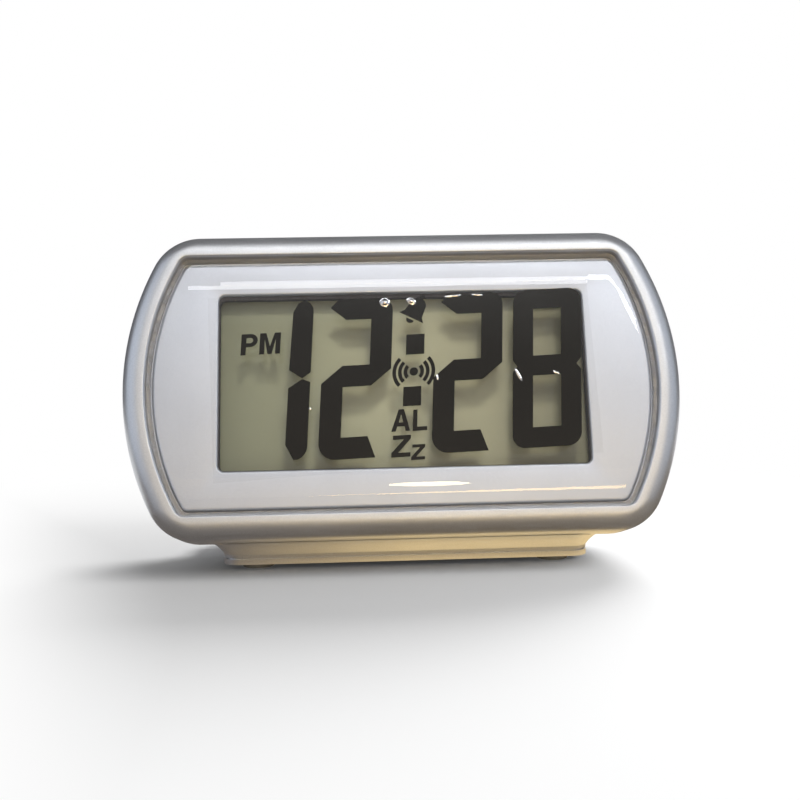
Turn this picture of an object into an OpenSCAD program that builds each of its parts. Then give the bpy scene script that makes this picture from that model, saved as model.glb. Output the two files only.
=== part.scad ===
// Digital alarm clock: barrel-shaped leaning case on a low flared base.
// Millimetres, +Z up, front towards -Y, origin under the middle of the clock on the table.

/* [Case] */
// Width across the bowed sides
case_w = 140; // [134:1:150]
// Height measured along the leaning face
case_h = 77.6; // [76:0.2:84]
// Depth from the front of the bezel to the back panel
case_d = 38; // [37:0.5:42]
// Radius of the bowed sides
side_r = 71.47; // [70:0.01:90]
// Radius of the four corners in the face
corner_r = 13; // [12.6:0.1:14]
// Lean of the face away from the vertical, in degrees
lean = 16; // [13:0.5:18]
// Wall thickness of bezel and rear housing
wall = 2; // [1.6:0.1:2.2]
// Taper of the rear housing, in degrees
draft = 12; // [9:0.5:13]

/* [Bezel and lens] */
// Depth of the bezel up to the seam
bezel_d = 12; // [11.5:0.1:12.4]
// Width of the rolled rim round the lens
rim_w = 6.1; // [5.8:0.1:6.4]
// Radius of the outer roll of the rim
roll_r = 4.6; // [4:0.1:4.8]
// Depth of the lens crown behind the front of the rim
lens_front = 1.2; // [0.8:0.1:1.6]
// Thickness of the lens in the middle
lens_t = 2; // [1.8:0.1:2.4]
// Fall of the lens from its flat middle to its edge
lens_fall = 0.8; // [0.5:0.1:1]

/* [Display] */
// Width of the window in the mask
window_w = 92.4; // [88:0.2:94]
// Height of the window in the mask
window_h = 44.9; // [42:0.1:45.6]
// Corner radius of the window
window_r = 1.6; // [0.8:0.1:3]
// Height of the window middle above the face middle
window_up = 0.6; // [0:0.1:1]
// Silver-free border between the rim and the mask
mask_border = 1.4; // [1.2:0.1:2.4]
// Thickness of the mask flange
mask_t = 1.4; // [1.2:0.1:1.6]
// Thickness of each glass of the LCD
glass_t = 1.1; // [0.9:0.1:1.1]
// Thickness of the light guide
guide_t = 2.5; // [2:0.1:2.6]
// Skew of the printed film on the lens, in degrees
film_skew = 1.9; // [-3:0.1:3]

/* [Controls] */
// Length of the snooze bar
snooze_l = 62; // [50:1:70]
// Width of the snooze bar
snooze_w = 8.4; // [7.4:0.2:8.8]
// Travel of the snooze bar
snooze_travel = 1.2; // [0.8:0.1:1.3]
// Diameter of the setting keys
key_dia = 6.8; // [5.6:0.2:7.4]
// Travel of the setting keys
key_travel = 0.8; // [0.5:0.1:0.9]
// Travel of the alarm switch knob
knob_travel = 4; // [3:0.2:4.4]

/* [Battery bay] */
// Diameter of a cell
cell_dia = 10.5; // [10.1:0.1:10.6]
// Length of a cell with its contact nub
cell_l = 44.5; // [43.5:0.1:44.9]

/* [Base] */
// How far the top edge of the flared base reaches past the straight of the case underside
base_reach = 0.5; // [0:0.1:1]
// Depth of the base where it stands
base_d = 34; // [32:0.5:36]
// How far the base flares out to its top
base_flare = 4.9; // [4:0.1:5.2]
// Room between the lowest line of the case and the table
case_clear = 6.2; // [5.8:0.1:7]
// Height of the base at its top edge
base_top = 8.6; // [8.4:0.1:9.4]
// Diameter of the rubber feet
foot_dia = 8; // [6:0.5:9]

/* [Fits] */
// Gap round moving parts
gap = 0.3; // [0.25:0.05:0.4]

/* [Hidden] */
$fn = 64;

// Face outline: straight top and bottom, bowed sides, round corners
half_h = case_h / 2;
side_cx = case_w / 2 - side_r;
corner_cy = half_h - corner_r;
seam_x = sqrt(pow(side_r - corner_r, 2) - pow(corner_cy, 2));
corner_cx = side_cx + seam_x;
corner_a = atan2(corner_cy, seam_x);
core_in = corner_r - 0.5;

// Rear housing: tapered wall, then a round edge into the flat back
seam_gap = 0.1;
seam_step = 0.3;
rear_front = bezel_d + seam_gap;
edge_r = (core_in - seam_step - tan(draft) * (case_d - rear_front))
  / (cos(draft) - tan(draft) * (1 - sin(draft)));
back_in = case_d - wall;

// Depths of the display stack behind the front of the rim
lens_back = lens_front + lens_t;
mask_front = lens_back + 0.2;
ledge_back = lens_back + 1.6;
mask_back = ledge_back + mask_t;
film_t = 0.12;
glass_front = mask_back + 0.1;
glass_mid = glass_front + glass_t;
glass_back = glass_mid + glass_t;
reflector_back = glass_back + 0.2;
guide_back = reflector_back + 0.1 + guide_t;
board_front = guide_back + 1.3;
board_back = board_front + 1.6;
glass_w = window_w + 4;
glass_h = window_h + 7.6;
ledge_h = 2.6;
stack_w = window_w + 0.4;
ledge_w = 1;
lip_r = 0.5;
lip_wall = 1.5;
lens_in = rim_w + 0.12;
mask_in = rim_w + mask_border;
flange_in = rim_w - 1.2;
post_x = glass_w / 2 + 5;
post_y = 20;
post_r = 2.6;

// Case screws run from the back panel into long posts of the mask
case_post_x = glass_w / 2 + 4.2;
case_post_y = 12;
case_post_end = board_back + 2.6;
screw_seat = case_post_end + 2.2;

// Controls
snooze_depth = rear_front + 7.9;
snooze_top = half_h + 0.5;
snooze_flange = half_h - 5.6;
switch_top = post_y + 3.4;
key_y = half_h - 21.8;
key_x = [-44, -18, 18, 44];
keyboard_back = back_in - 6.2;
keyboard_front = keyboard_back - 1.2;
key_flange = back_in - 0.2 - 0.7;
key_switch_h = key_flange - keyboard_back - key_travel - 0.1;
key_post_x = 31;
key_board_w = 2 * key_x[3] + 8.4;
key_board_h = 11;
key_switch_w = 6;
key_screw_l = 6;
key_screw_head = 1.9;
ribbon_x = 34;
ribbon_drop = 4;
knob_h = 4.4;

// Battery bay
bay_y = -10;
bay_w = cell_l + 6.5;
bay_h = 2 * cell_dia + 1.5;
bay_wall = 3.5;
door_t = 1.8;
door_w = bay_w + 4;
door_h = bay_h + 4;
cell_depth = case_d - door_t - 0.8 - cell_dia / 2;
bay_floor = cell_depth - cell_dia / 2 - 0.3;
cell_y = cell_dia / 2 + 0.25;
tab_x = 16;
tab_w = 6;
tab_h = 3;
wire_r = 0.35;
spring_l = bay_w - cell_l - 0.4 - 1.7;
buzzer_r = 10;
buzzer_x = bay_w / 2 + bay_wall + buzzer_r + 1.9;
buzzer_y = key_y - 17;

// Stance in the row frame
face_front = roll_r * cos(lean) - (half_h - roll_r) * sin(lean) - roll_r;
face_rear = (case_d - edge_r) * cos(lean) + (half_h - core_in) * sin(lean) + edge_r;
face_y = -(face_front + face_rear) / 2;
face_z = (case_d - edge_r) * sin(lean) + (half_h - core_in) * cos(lean) + edge_r + case_clear;
base_y = 3;
base_w = 2 * (corner_cx - base_flare + base_reach);
base_corner = 9;
foot_proud = 1.4;
plate_top = foot_proud + 1.4;
foot_x = base_w / 2 - foot_dia / 2 - 4.5;
foot_y = base_d / 2 - 6;
base_head_r = 2.7;
base_screw_x = foot_x - foot_dia / 2 - base_head_r - 1.4;
base_screw_y = base_y - base_d / 2 + 7;

// Least clear gap between the turns of a cell spring
spring_turns = 3.25;
spring_r0 = 3.2;
spring_r1 = 1.9;
spring_n = 26;
function spring_pt(i) = let (t = i / spring_n, a = 360 * spring_turns * t,
  r = spring_r0 + (spring_r1 - spring_r0) * t)
  [wire_r + 0.03 + (spring_l - 2 * wire_r - 0.06) * t, r * cos(a), r * sin(a)];
spring_clear = min([for (i = [0:spring_n - 6]) for (j = [i + 6:spring_n])
  norm(spring_pt(i) - spring_pt(j))]) - 2 * wire_r;
echo(spring_gap = spring_clear);

// Places the case, drawn lying on its back with the face up, on its lean
module stand() {
  translate([0, face_y, face_z])
    rotate([90 - lean, 0, 0])
      children();
}

// The reverse: brings a piece of the row frame into the lying case
module unstand() {
  rotate([lean - 90, 0, 0])
    translate([0, -face_y, -face_z])
      children();
}

// In the lying case: x, depth behind the face, height along the face
module upright() {
  rotate([-90, 0, 0])
    children();
}

// A flat layer between two depths
module slab(front, back) {
  translate([0, 0, -back])
    linear_extrude(back - front)
      children();
}

// A round bar between two depths
module rod(r, front, back) {
  translate([0, 0, -back])
    cylinder(r = r, h = back - front);
}

// Four copies, left and right, above and below
module four(x, y) {
  for (sx = [-1, 1]) {
    for (sy = [-1, 1]) {
      translate([sx * x, sy * y, 0])
        children();
    }
  }
}

// Quarter disc in the first quadrant
module quarter(r) {
  intersection() {
    circle(r);
    square(r);
  }
}

// Rectangle with round corners
module round_rect(w, h, r) {
  square([w, h - 2 * r], center = true);
  square([w - 2 * r, h], center = true);
  for (sx = [0, 1]) {
    for (sy = [0, 1]) {
      mirror([sx, 0])
        mirror([0, sy])
          translate([w / 2 - r, h / 2 - r])
            quarter(r);
    }
  }
}

// Long hole with half-round ends
module slot_2d(l, w) {
  square([l - w, w], center = true);
  for (s = [0, 1]) {
    mirror([s, 0])
      translate([(l - w) / 2, 0])
        intersection() {
          circle(w / 2);
          translate([0, -w])
            square([w, 2 * w]);
        }
  }
}

// Wedge of a bowed side, from the middle of its arc to the seams with the corners
module side_wedge() {
  polygon([[0, 0], [2 * seam_x, -2 * corner_cy], [2 * seam_x, 2 * corner_cy]]);
}

// Wedge of a corner, from the seam with the side to the seam with the straight top
module corner_wedge() {
  polygon([[0, 0], [2 * seam_x, 2 * corner_cy], [2 * seam_x, 4 * side_r], [0, 4 * side_r]]);
}

// Face outline, moved inwards
module outline(inset) {
  square([2 * corner_cx, case_h - 2 * inset], center = true);
  for (s = [0, 1]) {
    mirror([s, 0]) {
      translate([side_cx, 0])
        intersection() {
          circle(side_r - inset, $fn = 360);
          side_wedge();
        }
      for (t = [0, 1]) {
        mirror([0, t])
          translate([corner_cx, corner_cy])
            intersection() {
              circle(corner_r - inset);
              corner_wedge();
            }
      }
    }
  }
}

// Carries a section (inset from the outline, height) round the face outline
module ring() {
  for (s = [0, 1]) {
    mirror([s, 0, 0]) {
      translate([side_cx, 0, 0])
        intersection() {
          rotate_extrude($fn = 360)
            translate([side_r, 0])
              mirror([1, 0])
                children();
          translate([0, 0, -2 * case_d])
            linear_extrude(3 * case_d)
              side_wedge();
        }
      for (t = [0, 1]) {
        mirror([0, t, 0])
          translate([corner_cx, corner_cy, 0])
            intersection() {
              rotate_extrude($fn = 96)
                translate([corner_r, 0])
                  mirror([1, 0])
                    children();
              translate([0, 0, -2 * case_d])
                linear_extrude(3 * case_d)
                  corner_wedge();
            }
      }
    }
  }
  for (t = [0, 1]) {
    mirror([0, t, 0])
      rotate([90, 0, 90])
        linear_extrude(2 * corner_cx, center = true)
          translate([half_h, 0])
            mirror([1, 0])
              children();
  }
}

// Section of the rear housing, its surface moved out by grow, filled inwards to reach
module rear_section(grow, reach) {
  r = edge_r + grow;
  cz = edge_r - case_d;
  sx = core_in - r * cos(draft);
  sz = cz - r * sin(draft);
  polygon([[seam_step - grow / cos(draft), -rear_front], [sx, sz], [core_in, cz],
    [core_in, -rear_front]]);
  translate([core_in, cz])
    intersection() {
      circle(r, $fn = 128);
      polygon([[0, 0], [-2 * r * cos(draft), -2 * r * sin(draft)], [-2 * r, -2 * r], [0, -2 * r]]);
    }
  if (reach > core_in)
    translate([core_in, cz - r])
      square([reach - core_in, r - cz - rear_front]);
}

// Section of the bezel: outer wall, roll, crest, lip, inner wall and lens ledge
module bezel_section() {
  translate([0, -bezel_d])
    square([wall, bezel_d - roll_r]);
  translate([roll_r, -roll_r])
    mirror([1, 0])
      difference() {
        quarter(roll_r);
        circle(roll_r - wall);
      }
  translate([roll_r, -wall])
    square([rim_w - lip_r - roll_r, wall]);
  translate([rim_w - lip_r, -lip_r])
    quarter(lip_r);
  translate([rim_w - lip_wall, -ledge_back])
    square([lip_wall, ledge_back - lip_r]);
  translate([rim_w - lip_wall, -ledge_back])
    square([lip_wall + ledge_w, ledge_back - lens_back]);
}

// Rolled rim round the face, with the ledge that carries the lens
module front_bezel() {
  color("silver")
    stand()
      ring()
        bezel_section();
}

// Clear lens: flat in the middle, falling in a wide arc to its edge
module lens() {
  span = core_in - 0.5 - lens_in;
  arc_r = (pow(span, 2) + pow(lens_fall, 2)) / (2 * lens_fall);
  color("azure")
    stand() {
      ring()
        intersection() {
          translate([lens_in, -lens_back])
            square([span, lens_t + 1]);
          translate([lens_in + span, -lens_front - arc_r])
            circle(arc_r, $fn = 360);
        }
      slab(lens_front, lens_back)
        outline(core_in - 0.5);
    }
}

// Printed clear film stuck on the lens, a little askew
module display_film() {
  color("lightgray")
    stand()
      translate([0, window_up, 0])
        rotate(film_skew)
          slab(lens_front - film_t, lens_front)
            square([window_w + 3.6, window_h + 1.4], center = true);
}

// Silver mask round the window, with a flange behind the ledge and posts for board and housing
module display_mask() {
  edge = 0.8;
  color("silver")
    stand()
      difference() {
        union() {
          ring() {
            translate([mask_in + edge, -ledge_back])
              square([core_in - mask_in - edge, ledge_back - mask_front]);
            translate([mask_in, -ledge_back])
              square([edge, ledge_back - mask_front - edge]);
            translate([mask_in + edge, -mask_front - edge])
              mirror([1, 0])
                quarter(edge);
            translate([flange_in, -mask_back])
              square([core_in - flange_in, mask_t]);
          }
          slab(mask_front, mask_back)
            outline(core_in);
          four(post_x, post_y)
            rod(post_r, mask_back, board_front);
          four(case_post_x, case_post_y)
            rod(2.5, mask_back, case_post_end);
        }
        translate([0, window_up, 0])
          slab(0, mask_back + 1)
            round_rect(window_w, window_h, window_r);
        four(post_x, post_y)
          rod(1, mask_back, board_front + 1);
        four(case_post_x, case_post_y)
          rod(1.35, mask_back + 1, case_post_end + 1);
      }
}

// Front glass of the LCD, with the contact ledge along its lower edge
module lcd_front_glass() {
  color("darkseagreen")
    stand()
      translate([0, window_up, 0])
        slab(glass_front, glass_mid)
          square([glass_w, glass_h], center = true);
}

// Rear glass of the LCD, shorter by the contact ledge
module lcd_rear_glass() {
  color("darkseagreen")
    stand()
      translate([-glass_w / 2, window_up - glass_h / 2 + ledge_h, 0])
        slab(glass_mid, glass_back)
          square([glass_w, glass_h - ledge_h]);
}

// Reflecting film behind the glass
module lcd_reflector() {
  color("gainsboro")
    stand()
      translate([-glass_w / 2, window_up - glass_h / 2 + ledge_h, 0])
        slab(glass_back, reflector_back)
          square([glass_w, glass_h - ledge_h]);
}

// Acrylic light guide
module light_guide() {
  color("white")
    stand()
      translate([-stack_w / 2, window_up - glass_h / 2 + ledge_h + 0.2, 0])
        slab(reflector_back + 0.1, guide_back)
          square([stack_w, glass_h - ledge_h - 0.4]);
}

// Two side-firing lamps at the ends of the light guide
module backlight_leds() {
  color("lightyellow")
    stand()
      for (s = [0, 1]) {
        mirror([s, 0, 0])
          translate([stack_w / 2 + 0.2, -1.8, 0])
            slab(reflector_back + 0.4, board_front)
              square([1.4, 3.6]);
      }
}

// Frame that holds glass and light guide against the mask, with four corner tabs behind
module lcd_frame() {
  inner_w = glass_w + 0.5;
  inner_h = glass_h + 0.5;
  color("dimgray")
    stand()
      translate([0, window_up, 0]) {
        slab(mask_back, board_front)
          difference() {
            square([inner_w + 2.2, inner_h + 2.4], center = true);
            square([inner_w, inner_h], center = true);
          }
        for (sx = [0, 1]) {
          mirror([sx, 0, 0])
            translate([inner_w / 2 - 6, inner_h / 2 - 6, 0])
              slab(guide_back + 0.1, board_front)
                square([6.5, 6.5]);
        }
      }
}

// Conductive rubber strip between the glass ledge and the main board
module zebra_strip() {
  color("darkslategray")
    stand()
      translate([0, window_up - glass_h / 2 + 1.25, 0])
        slab(glass_mid, board_front)
          square([glass_w - 6, 1.8], center = true);
}

// Main board on the mask posts
module main_board() {
  low = window_up - glass_h / 2 - 0.6;
  color("seagreen")
    stand()
      difference() {
        slab(board_front, board_back)
          union() {
            square([2 * post_x + 7, 2 * post_y + 6], center = true);
            translate([-glass_w / 2, low])
              square([glass_w, 10]);
          }
        four(post_x, post_y)
          rod(1.25, board_front - 1, board_back + 1);
        four(case_post_x, case_post_y)
          rod(2.8, board_front - 1, board_back + 1);
      }
}

// Resin drop over the clock chip
module clock_chip() {
  drop_r = 6.5;
  drop_h = 1.6;
  ball_r = (drop_r * drop_r + drop_h * drop_h) / (2 * drop_h);
  color("black")
    stand()
      translate([-11, -2, 0])
        intersection() {
          translate([0, 0, -board_back - drop_h + ball_r])
            sphere(ball_r, $fn = 96);
          rod(drop_r + 1, board_back, board_back + drop_h + 1);
        }
}

// Quartz crystal can lying on the board
module crystal() {
  color("lightsteelblue")
    stand()
      translate([-8, -14, -board_back - 1])
        rotate([0, 90, 0])
          cylinder(r = 1, h = 6);
}

// Side-facing push switch under the snooze bar
module snooze_switch() {
  color("dimgray")
    stand()
      upright() {
        translate([-3.1, board_back, switch_top - 5])
          cube([6.2, 6, 3.5]);
        translate([0, board_back + 3, switch_top - 1.5])
          cylinder(r = 1.7, h = 1.5);
      }
}

// Screw with its head behind the seat, at depth seat, pointing to the front
module screw(shank_r, head_r, head_h, seat, reach) {
  rod(shank_r, reach, seat);
  difference() {
    rod(head_r, seat, seat + head_h);
    translate([0, 0, -seat - head_h])
      cube([1.4 * head_r, 0.45, 0.9], center = true);
    translate([0, 0, -seat - head_h])
      cube([0.45, 1.4 * head_r, 0.9], center = true);
  }
}

// Four screws through the main board into the mask posts
module board_screws() {
  color("lightgray")
    stand()
      four(post_x, post_y)
        screw(0.95, 1.9, 1.3, board_back, mask_back + 1);
}

// Upright screw boss of the base screws, inside the housing
module base_boss(r, low, high) {
  for (s = [-1, 1]) {
    translate([s * base_screw_x, base_screw_y, low])
      cylinder(r = r, h = high - low);
  }
}

// The underside of the lying case as a prism, its surface moved out by grow
module under_prism(grow) {
  rotate([90, 0, 90])
    linear_extrude(2 * corner_cx, center = true)
      translate([-half_h, 0])
        rear_section(grow, half_h);
}

// Rear housing: tapered shell, screw tubes, battery bay, key board posts, buzzer seat
module rear_housing() {
  color("silver")
    stand()
      difference() {
        union() {
          ring()
            difference() {
              rear_section(0, core_in);
              rear_section(-wall, core_in + 1);
            }
          slab(back_in, case_d)
            outline(core_in);
          four(case_post_x, case_post_y)
            rod(3.6, case_post_end + 0.1, back_in + 0.1);
          intersection() {
            under_prism(-0.02);
            unstand()
              base_boss(3, 0, case_clear + 9);
          }
          translate([0, bay_y, 0])
            slab(bay_floor - 1.5, back_in + 0.1)
              square([bay_w + 2 * bay_wall, bay_h + 2 * bay_wall], center = true);
          for (s = [-1, 1]) {
            translate([s * key_post_x, key_y, 0])
              rod(2.4, keyboard_back, back_in + 0.1);
          }
          translate([buzzer_x, buzzer_y, 0])
            rod(buzzer_r + 1.5, back_in - 2.8, back_in + 0.1);
        }
        four(case_post_x, case_post_y) {
          rod(1.5, case_post_end - 1, case_d);
          rod(2.9, screw_seat, case_d + 1);
        }
        unstand()
          base_boss(1.35, -1, case_clear + 8);
        translate([0, bay_y, 0]) {
          slab(bay_floor, case_d + 1)
            square([bay_w, bay_h], center = true);
          slab(case_d - door_t, case_d + 1)
            square([door_w + 2 * gap, door_h + 2 * gap], center = true);
          for (s = [-1, 1]) {
            translate([s * tab_x, -door_h / 2 - 0.4, 0])
              slab(case_d - 4.6, case_d - door_t + 0.1)
                square([6.8, 5], center = true);
            translate([s * (bay_w / 2 - 1.4), cell_y, 0])
              rod(1, bay_floor - 3, bay_floor + 1);
          }
          translate([0, door_h / 2, 0])
            slab(case_d - door_t, case_d + 1)
              slot_2d(16, 8);
        }
        for (x = key_x) {
          translate([x, key_y, 0])
            rod(key_dia / 2 + gap, back_in - 1, case_d + 1);
        }
        translate([0, key_y, 0])
          slab(back_in - 1, case_d + 1)
            slot_2d(knob_travel + 4.6, 3.2);
        for (s = [-1, 1]) {
          translate([s * key_post_x, key_y, 0])
            rod(1, keyboard_back - 1, back_in - 0.5);
        }
        translate([buzzer_x, buzzer_y, 0]) {
          rod(buzzer_r + 0.2, back_in - 3, back_in - 1.8);
          rod(buzzer_r - 0.8, back_in - 3, back_in);
          for (a = [0:60:300]) {
            rotate(a)
              translate([4, 0, 0])
                rod(0.9, back_in - 1, case_d + 1);
          }
          rod(0.9, back_in - 1, case_d + 1);
        }
        upright()
          translate([0, snooze_depth, snooze_flange + 0.4])
            linear_extrude(20)
              slot_2d(snooze_l + 2 * gap, snooze_w + 2 * gap);
      }
}

// Four screws from the back into the mask posts
module case_screws() {
  color("lightgray")
    stand()
      four(case_post_x, case_post_y)
        screw(1.3, 2.7, 1.9, screw_seat, screw_seat - 9);
}

// Snooze bar: crowned cap, retaining flange and the stem over its switch
module snooze_bar() {
  crown_r = 14;
  stem_low = switch_top + snooze_travel + 0.1;
  color("silver")
    stand()
      upright()
        translate([0, snooze_depth, 0]) {
          intersection() {
            translate([0, 0, snooze_flange - 1])
              linear_extrude(12)
                slot_2d(snooze_l, snooze_w);
            translate([0, 0, snooze_top - crown_r])
              rotate([0, 90, 0])
                cylinder(r = crown_r, h = snooze_l + 2, center = true, $fn = 128);
          }
          translate([0, 0, snooze_flange - 1.4])
            linear_extrude(1.4)
              slot_2d(snooze_l + 2.6, snooze_w + 2);
          translate([-2.5, board_back + 1.6 - snooze_depth, stem_low])
            cube([5, 2.8, snooze_flange - 1 - stem_low]);
        }
}

// Setting key: round cap with a soft edge and a flange inside the back panel
module setting_key(i) {
  r = key_dia / 2;
  edge = 0.6;
  tall = case_d + 1 - key_flange;
  color("dimgray")
    stand()
      translate([key_x[i], key_y, -key_flange])
        mirror([0, 0, 1])
          rotate_extrude() {
            square([r, tall - edge]);
            square([r - edge, tall]);
            translate([r - edge, tall - edge])
              quarter(edge);
            square([r + 1, 0.7]);
          }
}

// Key that sets the time
module time_key() {
  setting_key(0);
}

// Key that steps the hours
module hour_key() {
  setting_key(1);
}

// Key that steps the minutes
module minute_key() {
  setting_key(2);
}

// Key that sets the alarm
module alarm_key() {
  setting_key(3);
}

// Small board behind the back panel for keys and switch
module key_board() {
  color("seagreen")
    stand()
      difference() {
        translate([0, key_y, 0])
          slab(keyboard_front, keyboard_back)
            square([key_board_w, key_board_h], center = true);
        for (s = [-1, 1]) {
          translate([s * key_post_x, key_y, 0])
            rod(1.25, keyboard_front - 1, keyboard_back + 1);
        }
      }
}

// Push switch under each key
module key_switches() {
  color("black")
    stand()
      for (x = key_x) {
        translate([x, key_y, 0]) {
          slab(keyboard_back, keyboard_back + key_switch_h - 1)
            square(key_switch_w, center = true);
          rod(1.7, keyboard_back, keyboard_back + key_switch_h);
        }
      }
}

// Body of the alarm slide switch, with the slot its knob runs in
module slide_switch() {
  color("lightsteelblue")
    stand()
      translate([0, key_y, 0])
        difference() {
          slab(keyboard_back, keyboard_back + 3.4)
            square([11.6, 4.4], center = true);
          slab(keyboard_back + 1.6, keyboard_back + 4)
            square([knob_travel + 2.4, 2], center = true);
        }
}

// Knob of the alarm switch, drawn at the off end of its slot
module alarm_knob() {
  color("dimgray")
    stand()
      translate([-knob_travel / 2, key_y, 0]) {
        slab(keyboard_back + 2.2, back_in)
          square([1.6, 1.4], center = true);
        slab(back_in - 1.1, back_in - 0.3)
          square([knob_travel + 8, 5], center = true);
        slab(back_in - 0.4, case_d + 0.3)
          square([3, 2.2], center = true);
        difference() {
          slab(case_d + 0.3, case_d + 1.5)
            round_rect(5.4, knob_h, 0.8);
          for (x = [-1.5, 0, 1.5]) {
            translate([x, 0, 0])
              slab(case_d + 1.1, case_d + 2)
                square([0.6, knob_h + 1.6], center = true);
          }
        }
      }
}

// Two screws of the key board, heads towards the front
module key_board_screws() {
  color("lightgray")
    stand()
      for (s = [-1, 1]) {
        translate([s * key_post_x, key_y, -2 * keyboard_front])
          mirror([0, 0, 1])
            screw(0.95, key_screw_head, 1.3, keyboard_front, keyboard_front - key_screw_l);
      }
}

// Flat ribbon cable bowed between the two boards
module key_ribbon() {
  span = keyboard_front - board_back;
  bow_r = span * 0.8;
  lift = sqrt(bow_r * bow_r - span * span / 4);
  color("gray")
    stand()
      translate([-ribbon_x, key_y - ribbon_drop, 0])
        intersection() {
          rotate([0, 90, 0])
            translate([(keyboard_front + board_back) / 2, lift, 0])
              difference() {
                cylinder(r = bow_r + 0.25, h = 14, $fn = 128);
                translate([0, 0, -1])
                  cylinder(r = bow_r - 0.25, h = 16, $fn = 128);
              }
          translate([-1, -12, -keyboard_front])
            cube([16, 12.5, span]);
        }
}

// One cell lying along x, its contact nub to the right, middle at the origin
module cell() {
  nub = 1;
  translate([-cell_l / 2, 0, 0])
    rotate([0, 90, 0]) {
      cylinder(r = cell_dia / 2, h = cell_l - nub);
      cylinder(r = 1.8, h = cell_l);
    }
}

// Places a piece of the upper cell, and turned about for the lower one
module per_cell() {
  for (t = [0, 1]) {
    translate([0, bay_y, -cell_depth])
      rotate(180 * t)
        translate([0, cell_y, 0])
          children();
  }
}

// Two cells side by side, turned opposite ways
module battery_cells() {
  color("slategray")
    stand()
      per_cell()
        translate([bay_w / 2 - 1.7 - cell_l / 2, 0, 0])
          cell();
}

// Conical spring as one tube along x, wide end first
module cell_spring() {
  sides = 6;
  pts = [for (i = [0:spring_n]) let (c = spring_pt(i), a = atan2(c[2], c[1]))
    for (k = [0:sides - 1]) let (b = 360 * k / sides)
      c + wire_r * [sin(b), cos(b) * cos(a), cos(b) * sin(a)]];
  walls = [for (i = [0:spring_n - 1]) for (k = [0:sides - 1]) let (m = (k + 1) % sides)
    for (f = [[i * sides + k, i * sides + m, (i + 1) * sides + m],
      [i * sides + k, (i + 1) * sides + m, (i + 1) * sides + k]]) f];
  first = [for (k = [1:sides - 2]) [0, k + 1, k]];
  e = spring_n * sides;
  last = [for (k = [1:sides - 2]) [e, e + k, e + k + 1]];
  polyhedron(points = pts, faces = concat(walls, first, last));
}

// Coil spring at the flat end of each cell
module battery_springs() {
  color("lightgray")
    stand()
      per_cell()
        translate([-bay_w / 2 + 0.4, 0, 0])
          cell_spring();
}

// Sheet contacts: one bridge on the left, two single plates with a pip on the right
module contact_plates() {
  tall = cell_dia - 1.5;
  color("gold")
    stand() {
      per_cell() {
        translate([-bay_w / 2, -tall / 2, -tall / 2])
          cube([0.4, tall, tall]);
        translate([bay_w / 2 - 0.4, -tall / 2, -tall / 2])
          cube([0.4, tall, tall]);
        translate([bay_w / 2 - 1.7, 0, 0])
          rotate([0, 90, 0])
            cylinder(r = 2.2, h = 1.5);
      }
      translate([-bay_w / 2, bay_y - 2, -cell_depth - tall / 2])
        cube([0.4, 4, tall]);
    }
}

// Two leads from the contacts through the bay floor to the main board
module battery_leads() {
  color("red")
    stand()
      translate([0, bay_y + cell_y, 0])
        for (s = [-1, 1]) {
          translate([s * (bay_w / 2 - 1.4), 0, 0])
            rod(0.6, board_back, bay_floor);
        }
}

// Battery door: panel with finger tongue, grip ribs, round lower edge it turns on and two hooks
module battery_door() {
  color("silver")
    stand()
      translate([0, bay_y, 0]) {
        slab(case_d - door_t, case_d)
          union() {
            translate([-door_w / 2, -door_h / 2 + door_t / 2])
              square([door_w, door_h - door_t / 2]);
            translate([0, door_h / 2])
              slot_2d(10, 3.6);
          }
        translate([0, -door_h / 2 + door_t / 2, door_t / 2 - case_d])
          rotate([0, 90, 0])
            cylinder(r = door_t / 2, h = door_w, center = true);
        for (y = [4.5, 6.5, 8.5]) {
          translate([0, y, 0])
            slab(case_d, case_d + 0.5)
              square([14, 0.9], center = true);
        }
        for (s = [-1, 1]) {
          translate([s * tab_x - tab_w / 2, -door_h / 2 + 0.6, 0])
            slab(case_d - 3.6, case_d - door_t)
              square([tab_w, 1.2]);
          translate([s * tab_x - tab_w / 2, -door_h / 2 - 1.2, 0])
            slab(case_d - 3.6, case_d - 2.4)
              square([tab_w, tab_h]);
        }
      }
}

// Buzzer: brass disc with its ceramic on the inner side
module buzzer_disc() {
  color("gold")
    stand()
      translate([buzzer_x, buzzer_y, 0]) {
        rod(buzzer_r, back_in - 2.1, back_in - 1.8);
        rod(buzzer_r * 0.7, back_in - 2.4, back_in - 2.1);
      }
}

// Two leads from the buzzer to the main board
module buzzer_leads() {
  color("black")
    stand()
      translate([buzzer_x, buzzer_y, 0]) {
        rod(0.5, board_back, back_in - 2.4);
        translate([0, buzzer_r * 0.85, 0])
          rod(0.5, board_back, back_in - 2.1);
      }
}

// Carries a section (inset, height) round the base outline at its flared top
module base_ring() {
  w = base_w + 2 * base_flare;
  d = base_d + 2 * base_flare;
  for (sx = [0, 1]) {
    mirror([sx, 0, 0]) {
      for (sy = [0, 1]) {
        mirror([0, sy, 0])
          translate([w / 2 - base_corner, d / 2 - base_corner, 0])
            rotate_extrude(angle = 90, $fn = 96)
              translate([base_corner, 0])
                mirror([1, 0])
                  children();
      }
      translate([w / 2, 0, 0])
        rotate([90, 0, 0])
          linear_extrude(d - 2 * base_corner, center = true)
            mirror([1, 0])
              children();
    }
  }
  for (sy = [0, 1]) {
    mirror([0, sy, 0])
      translate([0, d / 2, 0])
        rotate([90, 0, 90])
          linear_extrude(w - 2 * base_corner, center = true)
            mirror([1, 0])
              children();
  }
}

// Base outline, moved inwards
module base_plan(inset) {
  round_rect(base_w + 2 * base_flare - 2 * inset, base_d + 2 * base_flare - 2 * inset,
    base_corner - inset);
}

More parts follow.
